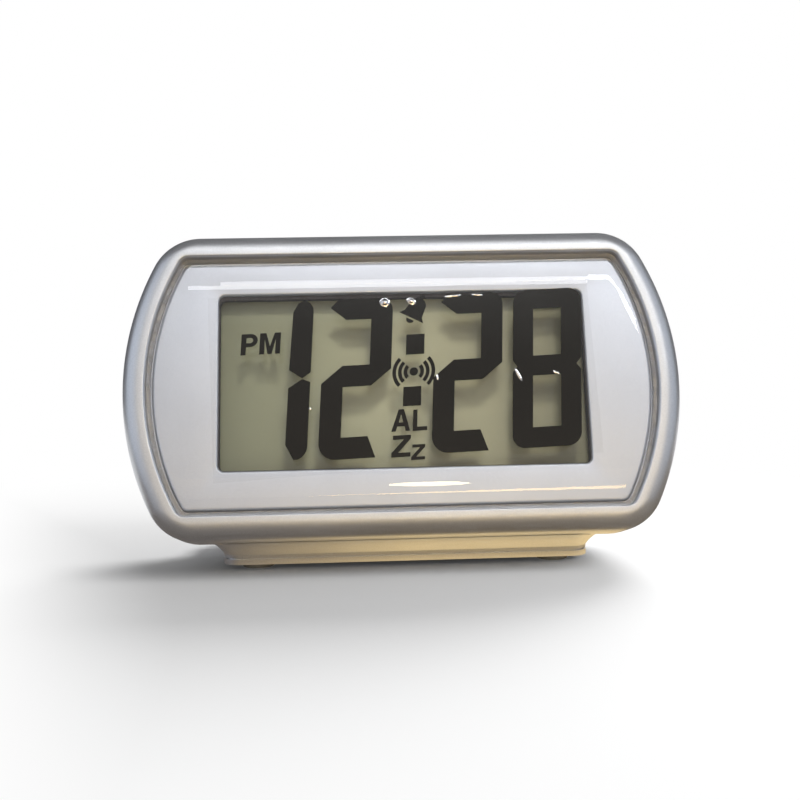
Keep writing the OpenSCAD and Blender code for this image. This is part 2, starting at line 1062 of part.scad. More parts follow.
// Section of the flared base side: groove, lip, hollow sweep and top edge, filled to reach
module base_section(reach) {
  low = [base_flare, plate_top + 1.1];
  high = [0, base_top - 0.7];
  run = high - low;
  sag = 0.07 * norm(run);
  inward = [run[1], -run[0]] / norm(run);
  steps = 6;
  hollow = [for (i = [0:steps]) let (t = i / steps)
    low + run * t + inward * sag * 4 * t * (1 - t)];
  polygon(concat([[base_flare + 0.5, plate_top], [base_flare + 0.5, plate_top + 0.5],
    [base_flare, plate_top + 0.5]], hollow,
    [[0, base_top - 0.3], [0.3, base_top], [reach, base_top], [reach, plate_top]]));
}

// The underside of the standing case with its bezel, its surface moved out by grow
module case_prism(grow) {
  stand()
    rotate([90, 0, 90])
      linear_extrude(2 * (corner_cx + base_reach + 1), center = true)
        translate([-half_h, 0]) {
          rear_section(grow, half_h);
          translate([-grow, -rear_front - 0.01])
            square([half_h, rear_front - roll_r]);
        }
}

// Flared base under the case, its top cut to the case, hollow below
module base_shell() {
  in = base_flare + 3;
  color("silver")
    difference() {
      translate([0, base_y, 0]) {
        base_ring()
          base_section(base_corner - 0.5);
        translate([0, 0, plate_top])
          linear_extrude(base_top - plate_top)
            base_plan(base_corner - 0.5);
      }
      case_prism(0.1);
      difference() {
        translate([0, base_y, plate_top - 1])
          linear_extrude(base_top - 1.6 - plate_top + 1)
            base_plan(in);
        case_prism(1.4);
      }
      base_boss(1.6, 0, 20);
    }
}

// Plate that closes the base, with seats for the feet and the base screws
module base_plate() {
  color("silver")
    difference() {
      union() {
        translate([0, base_y, foot_proud])
          linear_extrude(plate_top - foot_proud)
            base_plan(base_flare);
        base_boss(base_head_r + 1.1, foot_proud, plate_top + 1.2);
      }
      base_boss(1.6, 0, 10);
      base_boss(base_head_r + 0.3, 0, plate_top);
      translate([0, base_y, 0])
        four(foot_x, foot_y)
          cylinder(r = foot_dia / 2 + 0.15, h = foot_proud + 0.8);
    }
}

// Two long screws from below through plate and base into the housing
module base_screws() {
  tip = case_clear + 7;
  color("lightgray")
    for (s = [-1, 1]) {
      translate([s * base_screw_x, base_screw_y, plate_top]) {
        cylinder(r = 1.3, h = tip - plate_top);
        difference() {
          translate([0, 0, -1.4])
            cylinder(r = base_head_r, h = 1.4);
          translate([0, 0, -1.4])
            cube([3.6, 0.5, 0.9], center = true);
          translate([0, 0, -1.4])
            cube([0.5, 3.6, 0.9], center = true);
        }
      }
    }
}

// Four soft feet in their seats
module rubber_feet() {
  color("darkslategray")
    translate([0, base_y, 0])
      four(foot_x, foot_y)
        cylinder(r = foot_dia / 2, h = foot_proud + 0.8);
}

front_bezel();
lens();
display_film();
display_mask();
lcd_front_glass();
lcd_rear_glass();
lcd_reflector();
light_guide();
backlight_leds();
lcd_frame();
zebra_strip();
main_board();
clock_chip();
crystal();
snooze_switch();
board_screws();
rear_housing();
case_screws();
snooze_bar();
time_key();
hour_key();
minute_key();
alarm_key();
key_board();
key_switches();
slide_switch();
alarm_knob();
key_board_screws();
key_ribbon();
battery_cells();
battery_springs();
contact_plates();
battery_leads();
battery_door();
buzzer_disc();
buzzer_leads();
base_shell();
base_plate();
base_screws();
rubber_feet();
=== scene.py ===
"""Looks of a leaning digital alarm clock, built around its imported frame.

Lengths of the clock are in millimetres in its own face frame: u to the right, v up the face and
depth behind the front of the rim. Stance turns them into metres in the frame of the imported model.
Camera axes, lamps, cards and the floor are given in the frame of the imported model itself.
"""
from __future__ import annotations

import logging
import math
from dataclasses import dataclass, field
from enum import Enum

import bmesh
import bpy
import numpy as np
from mathutils import Matrix, Vector

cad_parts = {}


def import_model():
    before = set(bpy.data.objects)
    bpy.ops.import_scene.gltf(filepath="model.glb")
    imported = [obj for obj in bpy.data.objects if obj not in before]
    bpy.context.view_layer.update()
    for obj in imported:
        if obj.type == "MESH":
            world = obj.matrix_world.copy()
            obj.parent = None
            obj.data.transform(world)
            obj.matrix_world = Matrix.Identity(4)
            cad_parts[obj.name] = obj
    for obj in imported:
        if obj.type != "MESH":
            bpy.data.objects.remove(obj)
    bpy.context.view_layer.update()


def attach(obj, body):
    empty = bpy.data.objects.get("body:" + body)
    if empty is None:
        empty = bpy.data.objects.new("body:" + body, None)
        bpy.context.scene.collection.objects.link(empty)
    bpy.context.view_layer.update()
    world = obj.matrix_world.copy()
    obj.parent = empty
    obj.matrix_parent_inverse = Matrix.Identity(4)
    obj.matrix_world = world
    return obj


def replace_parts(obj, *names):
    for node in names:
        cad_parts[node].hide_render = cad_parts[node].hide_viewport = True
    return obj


LOG = logging.getLogger("alarm_clock")
MM = 0.001
MERGE_DIGITS = 7
BODY = "case"
DOOR_BODY = "battery_door"
# Point attribute that carries the painted shade of the bezel's groove.
GROOVE_SHADE = "groove"
WHITE = (1.0, 1.0, 1.0, 1.0)
SIDE_POINTS, CORNER_POINTS, FLAT_POINTS = 44, 18, 26
TONE_AND_NORMAL = {"Tone": "NodeSocketFloat", "Normal": "NodeSocketVector"}
Piece = bpy.types.Object
Socket = bpy.types.NodeSocket


class Sharp(Enum):
    """Angle from which an edge stays sharp, in degrees."""

    SOFT = 28.0
    MOULDED = 40.0
    CUT = 60.0


class LampShape(Enum):
    """Outlines of an area lamp."""

    PANEL = "RECTANGLE"
    OVAL = "ELLIPSE"


class FloorLight(Enum):
    """Whether a lamp spares the floor or lights it alone, so that shadow and looks are set apart."""

    SPARED = "EXCLUDE"
    ALONE = "INCLUDE"


class CardTint(Enum):
    """Colours of the cards that the clock mirrors."""

    DARK = (0.02, 0.02, 0.026, 1.0)
    ROOM = (0.35, 0.345, 0.35, 1.0)
    BRIGHT = (0.93, 0.965, 1.0, 1.0)
    PALE = (0.95, 0.8, 0.62, 1.0)
    GOLD = (0.74, 0.54, 0.26, 1.0)
    BROWN = (0.115, 0.083, 0.048, 1.0)
    SHADE = (0.1, 0.085, 0.075, 1.0)
    LEFT_BLUE = (0.58, 0.64, 0.74, 1.0)
    RIGHT_BLUE = (0.42, 0.47, 0.55, 1.0)


class Slot(Enum):
    """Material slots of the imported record."""

    SILVER = "silver_shell"
    LENS = "lens_clear"
    PRINT = "film_print"
    GLASS = "lcd_glass"
    DARK = "dark_plastic"


@dataclass(frozen=True)
class Stance:
    """Where the leaning case stands: the face middle and its lean."""

    lean_deg: float = 16.0
    face_y: float = -17.24624
    face_z: float = 47.94398

    def place(self, points: np.ndarray) -> np.ndarray:
        """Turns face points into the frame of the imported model.

        The formula is y = face_y + depth cos + v sin and z = face_z - depth sin + v cos, of the lean.

        Args:
            points: array of (u, v, depth) in millimetres, of any leading shape.

        Returns:
            Array of the same shape with x, y, z in metres.
        """
        lean = math.radians(self.lean_deg)
        u, v, depth = points[..., 0], points[..., 1], points[..., 2]
        y = self.face_y + depth * math.cos(lean) + v * math.sin(lean)
        z = self.face_z - depth * math.sin(lean) + v * math.cos(lean)
        return np.stack([u, y, z], axis=-1) * MM


@dataclass(frozen=True)
class Window:
    """Opening of the mask: width, height and corner radius, and how far its middle lies up the face."""

    size: tuple = (92.4, 44.9, 1.6)
    up: float = 0.6


@dataclass(frozen=True)
class Loop:
    """Closed line whose points move inwards along their normals: point = centre + (radius - inset) normal."""

    centre: np.ndarray
    radius: np.ndarray
    normal: np.ndarray

    def line(self) -> np.ndarray:
        """Returns the line itself, as an array of (u, v)."""
        return self.centre + self.radius[:, None] * self.normal

    def sweep(self, profile: np.ndarray) -> np.ndarray:
        """Carries a profile of (inset, depth) round the line.

        Args:
            profile: array of (inset, depth), one row for each ring.

        Returns:
            Grid of (u, v, depth), one ring for each row of the profile.
        """
        reach = self.radius[None, :] - profile[:, :1]
        flat = self.centre[None] + reach[..., None] * self.normal[None]
        depth = np.broadcast_to(profile[:, 1:], flat.shape[:2])
        return np.concatenate([flat, depth[..., None]], axis=-1)


def eight_stretches(side: tuple, corner: tuple, flat: tuple) -> Loop:
    """Builds a loop of two sides, four corners and two flats, run anticlockwise from the lower right.

    Each stretch is an arc: its points share the formula centre + radius (cos a, sin a). A straight
    stretch keeps one angle and moves its centre along the line instead.

    Args:
        side: (centre u, radius, half angle in degrees, half length of a straight side).
        corner: (centre u, centre v, radius, angle in degrees at which the corner starts).
        flat: (half length, radius).

    Returns:
        The loop.
    """
    side_u, side_r, side_a, side_half = side
    corner_u, corner_v, corner_r, corner_a = corner
    flat_half, flat_r = flat
    s = np.linspace(-1, 1, SIDE_POINTS, endpoint=False)
    c = np.linspace(0, 1, CORNER_POINTS, endpoint=False)
    f = np.linspace(1, -1, FLAT_POINTS, endpoint=False)
    zero_s, zero_f, one_c = np.zeros_like(s), np.zeros_like(f), np.ones_like(c)
    turn = 90 - corner_a
    parts = [
        (side_u + zero_s, side_half * s, side_r, side_a * s),
        (corner_u * one_c, corner_v * one_c, corner_r, corner_a + turn * c),
        (flat_half * f, zero_f, flat_r, 90 + zero_f),
        (-corner_u * one_c, corner_v * one_c, corner_r, 90 + turn * c),
        (-side_u + zero_s, -side_half * s, side_r, 180 + side_a * s),
        (-corner_u * one_c, -corner_v * one_c, corner_r, 180 + corner_a + turn * c),
        (-flat_half * f, zero_f, flat_r, 270 + zero_f),
        (corner_u * one_c, -corner_v * one_c, corner_r, 270 + turn * c),
    ]
    centre = np.concatenate([np.column_stack(p[:2]) for p in parts])
    radius = np.concatenate([np.full(len(p[3]), float(p[2])) for p in parts])
    angle = np.radians(np.concatenate([p[3] for p in parts]))
    return Loop(centre, radius, np.column_stack([np.cos(angle), np.sin(angle)]))


@dataclass(frozen=True)
class FaceOutline:
    """Barrel outline of the face: straight top and bottom, bowed sides, round corners."""

    half_h: float = 38.8
    side_u: float = -1.47
    side_r: float = 71.47
    corner_r: float = 13.0
    shrink_from: float = 2.0
    lip_inset: float = 6.1
    lip_corner_r: float = 2.8
    past_lip: float = 0.5

    def corner_at(self, inset: float) -> float:
        """Returns the corner radius at an inset: it shrinks with the inset, and faster on the way to the lip.

        Args:
            inset: distance inwards in millimetres.

        Returns:
            The radius.
        """
        share = min(max((inset - self.shrink_from) / (self.lip_inset - self.shrink_from), 0.0), 1.0)
        drop = self.corner_r - self.lip_inset - self.lip_corner_r
        past = max(inset - self.lip_inset, 0.0)
        return self.corner_r - inset - drop * share * share * (3 - 2 * share) + self.past_lip * past

    def loop(self, inset: float) -> Loop:
        """Returns the outline moved inwards: sides and flats keep their distance, corner arcs touch both.

        Args:
            inset: distance inwards in millimetres.

        Returns:
            The loop.
        """
        radius, side, top = self.corner_at(inset), self.side_r - inset, self.half_h - inset
        corner_v = top - radius
        corner_u = self.side_u + math.sqrt((side - radius) ** 2 - corner_v**2)
        start = math.degrees(math.atan2(corner_v, corner_u - self.side_u))
        return eight_stretches(
            (self.side_u, side, start, 0.0), (corner_u, corner_v, radius, start), (corner_u, top)
        )

    def sweep(self, profile: np.ndarray) -> np.ndarray:
        """Carries a profile of (inset, depth) round the outline, one ring for each of its points.

        Args:
            profile: array of (inset, depth).

        Returns:
            Grid of (u, v, depth).
        """
        return np.concatenate([self.loop(inset).sweep(np.array([[0.0, depth]])) for inset, depth in profile])


def rounded_rectangle(width: float, height: float, radius: float) -> Loop:
    """Returns a rectangle with round corners as a loop with the same stretches as the face outline.

    Args:
        width: width in millimetres.
        height: height in millimetres.
        radius: corner radius in millimetres.

    Returns:
        The loop.
    """
    half_w, half_h = width / 2, height / 2
    return eight_stretches(
        (0.0, half_w, 0.0, half_h - radius),
        (half_w - radius, half_h - radius, radius, 0.0),
        (half_w - radius, half_h),
    )


def arc(centre: tuple, radius: float | tuple, start: float, end: float, steps: int) -> np.ndarray:
    """Returns points centre + radius (cos a, sin a) for a from start to end degrees, both kept."""
    a = np.radians(np.linspace(start, end, steps + 1))
    return np.array(centre) + np.broadcast_to(radius, 2) * np.column_stack([np.cos(a), np.sin(a)])


def grid_faces(rows: int, cols: int, wrap_rows: bool) -> np.ndarray:
    """Returns the quads of a grid of points that closes on itself along its columns.

    Args:
        rows: number of rings.
        cols: points in a ring.
        wrap_rows: whether the last ring joins the first.

    Returns:
        Array of four point numbers for each quad.
    """
    r = np.arange(rows if wrap_rows else rows - 1)[:, None]
    c = np.arange(cols)[None, :]
    up, right = (r + 1) % rows, (c + 1) % cols
    quads = [r * cols + c, r * cols + right, up * cols + right, up * cols + c]
    return np.stack(np.broadcast_arrays(*quads), axis=-1).reshape(-1, 4)


def new_object(name: str, points: np.ndarray, faces: list, sharp: Sharp) -> Piece:
    """Makes a mesh object at the origin with outward faces and smooth shading up to a sharp angle.

    Args:
        name: name of the piece.
        points: array of points in metres.
        faces: lists of point numbers.
        sharp: angle from which an edge stays sharp.

    Returns:
        The object, linked to the scene.
    """
    mesh = bpy.data.meshes.new(name)
    mesh.from_pydata(points.tolist(), [], faces)
    form = bmesh.new()
    form.from_mesh(mesh)
    bmesh.ops.recalc_face_normals(form, faces=form.faces[:])
    form.to_mesh(mesh)
    form.free()
    mesh.shade_smooth()
    mesh.set_sharp_from_angle(angle=math.radians(sharp.value))
    made = bpy.data.objects.new(name, mesh)
    bpy.context.scene.collection.objects.link(made)
    return made


def ring_object(name: str, grid: np.ndarray, closed_profile: bool, sharp: Sharp = Sharp.SOFT) -> Piece:
    """Makes a piece from a grid of rings: a closed profile joins last to first, an open one is capped flat.

    Args:
        name: name of the piece.
        grid: array (rings, points, 3) in metres.
        closed_profile: whether the last ring joins the first.
        sharp: angle from which an edge stays sharp.

    Returns:
        The object.
    """
    rows, cols = grid.shape[:2]
    faces = grid_faces(rows, cols, closed_profile).tolist()
    if not closed_profile:
        faces += [list(range(cols)), list(range((rows - 1) * cols, rows * cols))]
    return new_object(name, grid.reshape(-1, 3), faces, sharp)


def mesh_points(mesh: bpy.types.Mesh) -> np.ndarray:
    """Returns the points of a mesh as an array of rows of three.

    Args:
        mesh: the mesh.

    Returns:
        The array.
    """
    flat = np.zeros(len(mesh.vertices) * 3, np.float32)
    mesh.vertices.foreach_get("co", flat)
    return flat.reshape(-1, 3).astype(float)


def curve_mesh(curve: bpy.types.Curve) -> tuple[np.ndarray, list]:
    """Turns a filled curve or text into a mesh.

    Args:
        curve: the curve, without an object.

    Returns:
        Points in the curve's own frame, and faces as lists of point numbers.
    """
    holder = bpy.data.objects.new(curve.name + "_line", curve)
    bpy.context.scene.collection.objects.link(holder)
    bpy.context.view_layer.update()
    mesh = bpy.data.meshes.new_from_object(holder.evaluated_get(bpy.context.evaluated_depsgraph_get()))
    bpy.data.objects.remove(holder)
    return mesh_points(mesh), [list(face.vertices) for face in mesh.polygons]


def merged_copy(node: str, name: str, sharp: Sharp) -> Piece:
    """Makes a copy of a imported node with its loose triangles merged, so that it can shade smoothly.

    Args:
        node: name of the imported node.
        name: name of the copy.
        sharp: angle from which an edge stays sharp.

    Returns:
        The copy, standing for the node.
    """
    source = bpy.data.objects[node].data
    loops = np.zeros(len(source.loops), np.int32)
    source.loops.foreach_get("vertex_index", loops)
    points, index = np.unique(np.round(mesh_points(source), MERGE_DIGITS), axis=0, return_inverse=True)
    triangles = index.reshape(-1)[loops].reshape(-1, 3)
    kept = np.all(triangles != np.roll(triangles, 1, axis=1), axis=1)
    made = new_object(name, points, triangles[kept].tolist(), sharp)
    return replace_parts(made, node)


class Nodes:
    """Short ways to add and join shader nodes in one tree."""

    def __init__(self, tree: bpy.types.NodeTree) -> None:
        """Starts on an empty tree."""
        self.tree = tree
        tree.nodes.clear()

    def add(self, kind: str, inputs: dict | None = None, **settings: object) -> bpy.types.Node:
        """Adds a node.

        Args:
            kind: node type name without its Shader prefix.
            inputs: socket name or number to a value, or to another node's output socket.
            settings: properties of the node.

        Returns:
            The node.
        """
        node = self.tree.nodes.new(kind if kind.startswith("Node") else "ShaderNode" + kind)
        for key, value in settings.items():
            setattr(node, key, value)
        for key, value in (inputs or {}).items():
            self.put(node.inputs[key], value)
        return node

    def put(self, socket: Socket, value: object) -> None:
        """Sets a socket to a value or joins it to another socket.

        Args:
            socket: the socket.
            value: a plain value, or another node's output socket.
        """
        if isinstance(value, Socket):
            self.tree.links.new(value, socket)
        else:
            socket.default_value = value

    def at(self) -> Socket:
        """Adds the piece's own coordinates and returns them."""
        return self.add("TexCoord").outputs["Object"]

    def across(self) -> Socket:
        """Adds the piece's own coordinates and returns the one that runs to the right."""
        return self.add("SeparateXYZ", {"Vector": self.at()}).outputs["X"]

    def math(self, operation: str, a: object, b: object) -> Socket:
        """Adds a calculation on two values and returns its result."""
        return self.add("Math", {0: a, 1: b}, operation=operation).outputs[0]

    def noise(self, at: Socket, scale: float | Socket, detail: float = 3.0) -> Socket:
        """Adds a noise texture on coordinates and returns its value."""
        return self.add("TexNoise", {"Vector": at, "Scale": scale, "Detail": detail}).outputs["Fac"]

    def bump(self, height: Socket, strength: Socket, depth: float) -> Socket:
        """Adds a bump of a depth in metres and returns its normal."""
        return self.add("Bump", {"Strength": strength, "Distance": depth, "Height": height}).outputs["Normal"]

    def span(
        self, value: Socket, low: float = 0.0, high: float = 1.0, source: tuple = (0.0, 1.0),
        smooth: bool = False,
    ) -> Socket:
        """Adds a node that maps one range to another.

        Args:
            value: the value to map.
            low: what the start of the source range becomes.
            high: what its end becomes.
            source: the range that the value has.
            smooth: whether the way between them is eased at both ends.

        Returns:
            The mapped value.
        """
        ends = {"From Min": source[0], "From Max": source[1], "To Min": low, "To Max": high}
        node = self.add("MapRange", {"Value": value, **ends})
        node.interpolation_type = "SMOOTHSTEP" if smooth else "LINEAR"
        return node.outputs["Result"]

    def blend(self, factor: Socket, a: object, b: object) -> Socket:
        """Adds a colour mix.

        Args:
            factor: share of the second colour.
            a: first colour.
            b: second colour.

        Returns:
            The mixed colour.
        """
        node = self.add("Mix", data_type="RGBA")
        for number, value in ((0, factor), (6, a), (7, b)):
            self.put(node.inputs[number], value)
        return node.outputs[2]

    def mix(self, factor: Socket, first: bpy.types.Node, second: bpy.types.Node) -> bpy.types.Node:
        """Adds a mix of two shaders and returns its node."""
        return self.add("MixShader", {0: factor, 1: first.outputs[0], 2: second.outputs[0]})

    def surface(self, shader: bpy.types.Node) -> None:
        """Makes a shader the surface of the material."""
        self.add("OutputMaterial", {"Surface": shader.outputs[0]})


def shared_group(name: str, inputs: dict, outputs: dict) -> tuple[bpy.types.NodeTree, Nodes, bpy.types.Node]:
    """Starts a shader node group with float inputs.

    Args:
        name: name of the group.
        inputs: input name to its default.
        outputs: output name to its socket type.

    Returns:
        The group, a node adder for it and its input node.
    """
    group = bpy.data.node_groups.new(name, "ShaderNodeTree")
    for label, default in inputs.items():
        socket = group.interface.new_socket(label, in_out="INPUT", socket_type="NodeSocketFloat")
        socket.default_value = default
    for label, kind in outputs.items():
        group.interface.new_socket(label, in_out="OUTPUT", socket_type=kind)
    nodes = Nodes(group)
    return group, nodes, nodes.add("NodeGroupInput")


@dataclass
class Effects:
    """Surface effects that several finishes use, each built once as a node group."""

    cloud_scale: float = 60.0
    flake_depth: float = 0.00002
    grain_depth: float = 0.00005
    smear_turn: tuple = (0.3, 0.2, 0.7)
    smear_scale: tuple = (40.0, 90.0, 60.0)
    smear_detail: float = 5.0

    def __post_init__(self) -> None:
        """Builds every group."""
        self.flake = self.build_flake()
        self.grain = self.build_grain()
        self.handling = self.build_handling()

    def build_flake(self) -> bpy.types.NodeTree:
        """Builds metal flake: cells of random brightness, each turned a little, over a slow cloud.

        Returns:
            The group.
        """
        group, nodes, given = shared_group(
            "metal_flake", {"Scale": 5200.0, "Spread": 0.5, "Tilt": 0.1}, TONE_AND_NORMAL
        )
        at = nodes.at()
        cells = nodes.add("TexVoronoi", {"Vector": at, "Scale": given.outputs["Scale"]})
        shade = nodes.add("SeparateColor", {"Color": cells.outputs["Color"]}).outputs["Red"]
        sparkle = nodes.math("MULTIPLY", shade, given.outputs["Spread"])
        tone = nodes.math("ADD", sparkle, nodes.noise(at, self.cloud_scale))
        tilt = nodes.bump(shade, given.outputs["Tilt"], self.flake_depth)
        nodes.add("NodeGroupOutput", {"Tone": tone, "Normal": tilt})
        return group

    def build_grain(self) -> bpy.types.NodeTree:
        """Builds the spark-eroded grain of a mould: fine noise as height and as tone.

        Returns:
            The group.
        """
        group, nodes, given = shared_group("mould_grain", {"Scale": 3000.0, "Strength": 0.2}, TONE_AND_NORMAL)
        fine = nodes.noise(nodes.at(), given.outputs["Scale"])
        raised = nodes.bump(fine, given.outputs["Strength"], self.grain_depth)
        nodes.add("NodeGroupOutput", {"Tone": fine, "Normal": raised})
        return group

    def build_handling(self) -> bpy.types.NodeTree:
        """Builds traces of handling: faint smears that change the gloss.

        Returns:
            The group.
        """
        group, nodes, given = shared_group(
            "handling", {"Base": 0.3, "Spread": 0.1}, {"Roughness": "NodeSocketFloat"}
        )
        turn = {"Vector": nodes.at(), "Rotation": self.smear_turn, "Scale": self.smear_scale}
        smear = nodes.noise(nodes.add("Mapping", turn).outputs["Vector"], 1.0, self.smear_detail)
        shift = nodes.math("MULTIPLY", nodes.math("SUBTRACT", smear, 0.5), given.outputs["Spread"])
        nodes.add("NodeGroupOutput", {"Roughness": nodes.math("ADD", shift, given.outputs["Base"])})
        return group

    def gloss(self, nodes: Nodes, base: float, spread: float) -> Socket:
        """Places the traces of handling in a material and returns its roughness."""
        return nodes.add("Group", {"Base": base, "Spread": spread}, node_tree=self.handling).outputs[0]

    def grained(self, nodes: Nodes, scale: float, strength: float) -> tuple[Socket, Socket]:
        """Places the grain in a material and returns its tone and its normal."""
        placed = nodes.add("Group", {"Scale": scale, "Strength": strength}, node_tree=self.grain)
        return placed.outputs["Tone"], placed.outputs["Normal"]


def new_material(name: str) -> tuple[bpy.types.Material, Nodes]:
    """Makes a material with an empty tree.

    Args:
        name: name of the material.

    Returns:
        The material and a node adder for its tree.
    """
    material = bpy.data.materials.new(name)
    material.use_nodes = True
    return material, Nodes(material.node_tree)


@dataclass(frozen=True)
class Finish:
    """A finish by name, from which each kind of finish follows."""

    name: str

    def material(self, effects: Effects) -> bpy.types.Material:
        """Builds the material.

        Args:
            effects: the shared effects.

        Returns:
            The material.
        """
        made, nodes = new_material(self.name)
        nodes.surface(self.shader(nodes, effects))
        return made

    def shader(self, nodes: Nodes, effects: Effects) -> bpy.types.Node:
        """Stops, since each kind of finish has a shader of its own."""
        raise NotImplementedError(self.name)


@dataclass(frozen=True)
class MetallicPaint(Finish):
    """Silver paint with fine metal flake under a thin clear coat."""

    dark: tuple = (0.645, 0.66, 0.69, 1.0)
    light: tuple = (0.785, 0.8, 0.83, 1.0)
    metallic: float = 0.88
    roughness: float = 0.36
    coat: float = 0.1
    # Painted shade: how far the groove marked on a piece darkens the paint towards the shade tone below,
    # standing in for the dark room mirrored there.
    groove: float = 0.0
    groove_shade_tone: tuple = (0.15, 0.14, 0.14, 1.0)
    coat_roughness: float = 0.12
    wear: float = 0.08

    def shader(self, nodes: Nodes, effects: Effects) -> bpy.types.Node:
        """Adds the paint: flake sets tone and tilt, handling the gloss, and a piece's marked groove gets
        painted shade.

        Args:
            nodes: node adder of the material.
            effects: the shared effects.

        Returns:
            The shader.
        """
        flake = nodes.add("Group", node_tree=effects.flake)
        colour = nodes.blend(flake.outputs["Tone"], self.dark, self.light)
        # Painted shade in the marked groove.
        if self.groove:
            deep = nodes.add("Attribute", attribute_name=GROOVE_SHADE).outputs["Fac"]
            colour = nodes.blend(nodes.math("MULTIPLY", deep, self.groove), colour, self.groove_shade_tone)
        return nodes.add(
            "BsdfPrincipled",
            {
                "Base Color": colour,
                "Metallic": self.metallic,
                "Roughness": effects.gloss(nodes, self.roughness, self.wear),
                "Normal": flake.outputs["Normal"],
                "Coat Weight": self.coat,
                "Coat Roughness": self.coat_roughness,
            },
        )


@dataclass(frozen=True)
class ClearPlastic(Finish):
    """Clear plastic or glass that lets lamp light through to what lies behind it."""

    tint: tuple = WHITE
    ior: float = 1.49
    roughness: float = 0.01

    def shader(self, nodes: Nodes, effects: Effects) -> bpy.types.Node:
        """Adds the clear shader, plain for the rays that carry light to and from what lies behind it.

        Args:
            nodes: node adder of the material.
            effects: the shared effects.

        Returns:
            The shader.
        """
        clear = nodes.add(
            "BsdfPrincipled",
            {
                "Base Color": self.tint,
                "Roughness": effects.gloss(nodes, self.roughness, self.roughness),
                "IOR": self.ior,
                "Transmission Weight": 1.0,
            },
        )
        ray = nodes.add("LightPath").outputs
        mirrored = nodes.math("SUBTRACT", ray["Is Glossy Ray"], ray["Is Transmission Ray"])
        lit = nodes.math("MAXIMUM", ray["Is Shadow Ray"], ray["Is Diffuse Ray"])
        passed = nodes.math("MAXIMUM", lit, mirrored)
        return nodes.mix(passed, clear, nodes.add("BsdfTransparent", {"Color": self.tint}))


@dataclass(frozen=True)
class ClearFilm(Finish):
    """Thin clear film, seen mostly by its edges and its faint gloss."""

    tint: tuple = (0.16, 0.16, 0.15, 1.0)
    alpha: float = 0.022
    roughness: float = 0.08
    wear: float = 0.06

    def shader(self, nodes: Nodes, effects: Effects) -> bpy.types.Node:
        """Adds a faint glossy surface that shadow rays pass.

        Args:
            nodes: node adder of the material.
            effects: the shared effects.

        Returns:
            The shader.
        """
        gloss = effects.gloss(nodes, self.roughness, self.wear)
        faint = {"Base Color": self.tint, "Roughness": gloss, "Alpha": self.alpha}
        passed = nodes.add("LightPath").outputs["Is Shadow Ray"]
        return nodes.mix(passed, nodes.add("BsdfPrincipled", faint), nodes.add("BsdfTransparent"))


@dataclass(frozen=True)
class Moulded(Finish):
    """Opaque plastic, rubber, metal or print with a fine moulded grain."""

    dark: tuple
    light: tuple
    roughness: float = 0.5
    grain_scale: float = 3000.0
    grain: float = 0.2
    metallic: float = 0.0
    wear: float = 0.1

    def shader(self, nodes: Nodes, effects: Effects) -> bpy.types.Node:
        """Adds the surface: grain sets tone and height, handling sets the gloss.

        Args:
            nodes: node adder of the material.
            effects: the shared effects.

        Returns:
            The shader.
        """
        tone, normal = effects.grained(nodes, self.grain_scale, self.grain)
        return nodes.add(
            "BsdfPrincipled",
            {
                "Base Color": nodes.blend(tone, self.dark, self.light),
                "Metallic": self.metallic,
                "Roughness": effects.gloss(nodes, self.roughness, self.wear),
                "Normal": normal,
            },
        )


@dataclass(frozen=True)
class DisplayGround(Finish):
    """Grey-green ground of the display with a fine grain, painted lighter in the middle, with painted shade
    towards its rim and painted light warmer to the right.
    """

    # Tones of the ground: the middle, a painted lit and warm right side, and a painted shaded rim.
    middle: tuple = (0.6, 0.568, 0.445, 1.0)
    lit_warm_side: tuple = (0.84, 0.715, 0.56, 1.0)
    rim: tuple = (0.15, 0.14, 0.095, 1.0)
    centre: tuple = (-0.002, -0.009, 0.046)
    reach: float = 0.064
    half_w: float = 0.046
    grain_scale: float = 1800.0
    grain: float = 0.05
    speck: float = 0.12
    roughness: float = 0.55

    def shader(self, nodes: Nodes, effects: Effects) -> bpy.types.Node:
        """Adds the ground: painted shade in a round fall-off from the middle, painted light warmer to the
        right, plus grain.

        Args:
            nodes: node adder of the material.
            effects: the shared effects.

        Returns:
            The shader.
        """
        tone, normal = effects.grained(nodes, self.grain_scale, self.grain)
        # Painted shade towards the rim and painted light to the right.
        away = nodes.add("VectorMath", {0: nodes.at(), 1: self.centre}, operation="DISTANCE")
        fall = nodes.span(away.outputs["Value"], source=(0.0, self.reach))
        side = nodes.span(nodes.across(), source=(-self.half_w, self.half_w))
        ground = nodes.blend(fall, nodes.blend(side, self.middle, self.lit_warm_side), self.rim)
        colour = nodes.blend(nodes.span(tone, high=self.speck), ground, self.rim)
        return nodes.add(
            "BsdfPrincipled", {"Base Color": colour, "Roughness": self.roughness, "Normal": normal}
        )


SILVER = MetallicPaint("silver_paint")
# The bezel's groove carries painted shade.
BEZEL_SILVER = MetallicPaint("bezel_paint", roughness=0.4, groove=0.5)
MASK_SILVER = MetallicPaint(
    "mask_paint", (0.62, 0.64, 0.69, 1.0), (0.72, 0.74, 0.79, 1.0), metallic=0.65, coat=0.0
)
LENS_CLEAR = ClearPlastic("lens_acrylic", (0.985, 0.99, 1.0, 1.0))
PANEL_CLEAR = ClearPlastic("display_glass", (0.93, 0.95, 0.88, 1.0), 1.5)
FILM_CLEAR = ClearFilm("clear_film")
PRINT_INK = Moulded(
    "print_ink", (0.008, 0.007, 0.005, 1.0), (0.013, 0.011, 0.008, 1.0), 0.18, 2200.0, 0.02
)
GROUND = DisplayGround("display_ground")
# Mirror metal on the blisters: painted glints standing in for the glint of clear trapped air.
BLISTER_GLINT = Moulded(
    "blister_glint", (0.8, 0.8, 0.82, 1.0), (0.92, 0.92, 0.94, 1.0), 0.12, 1500.0, 0.02, 1.0
)
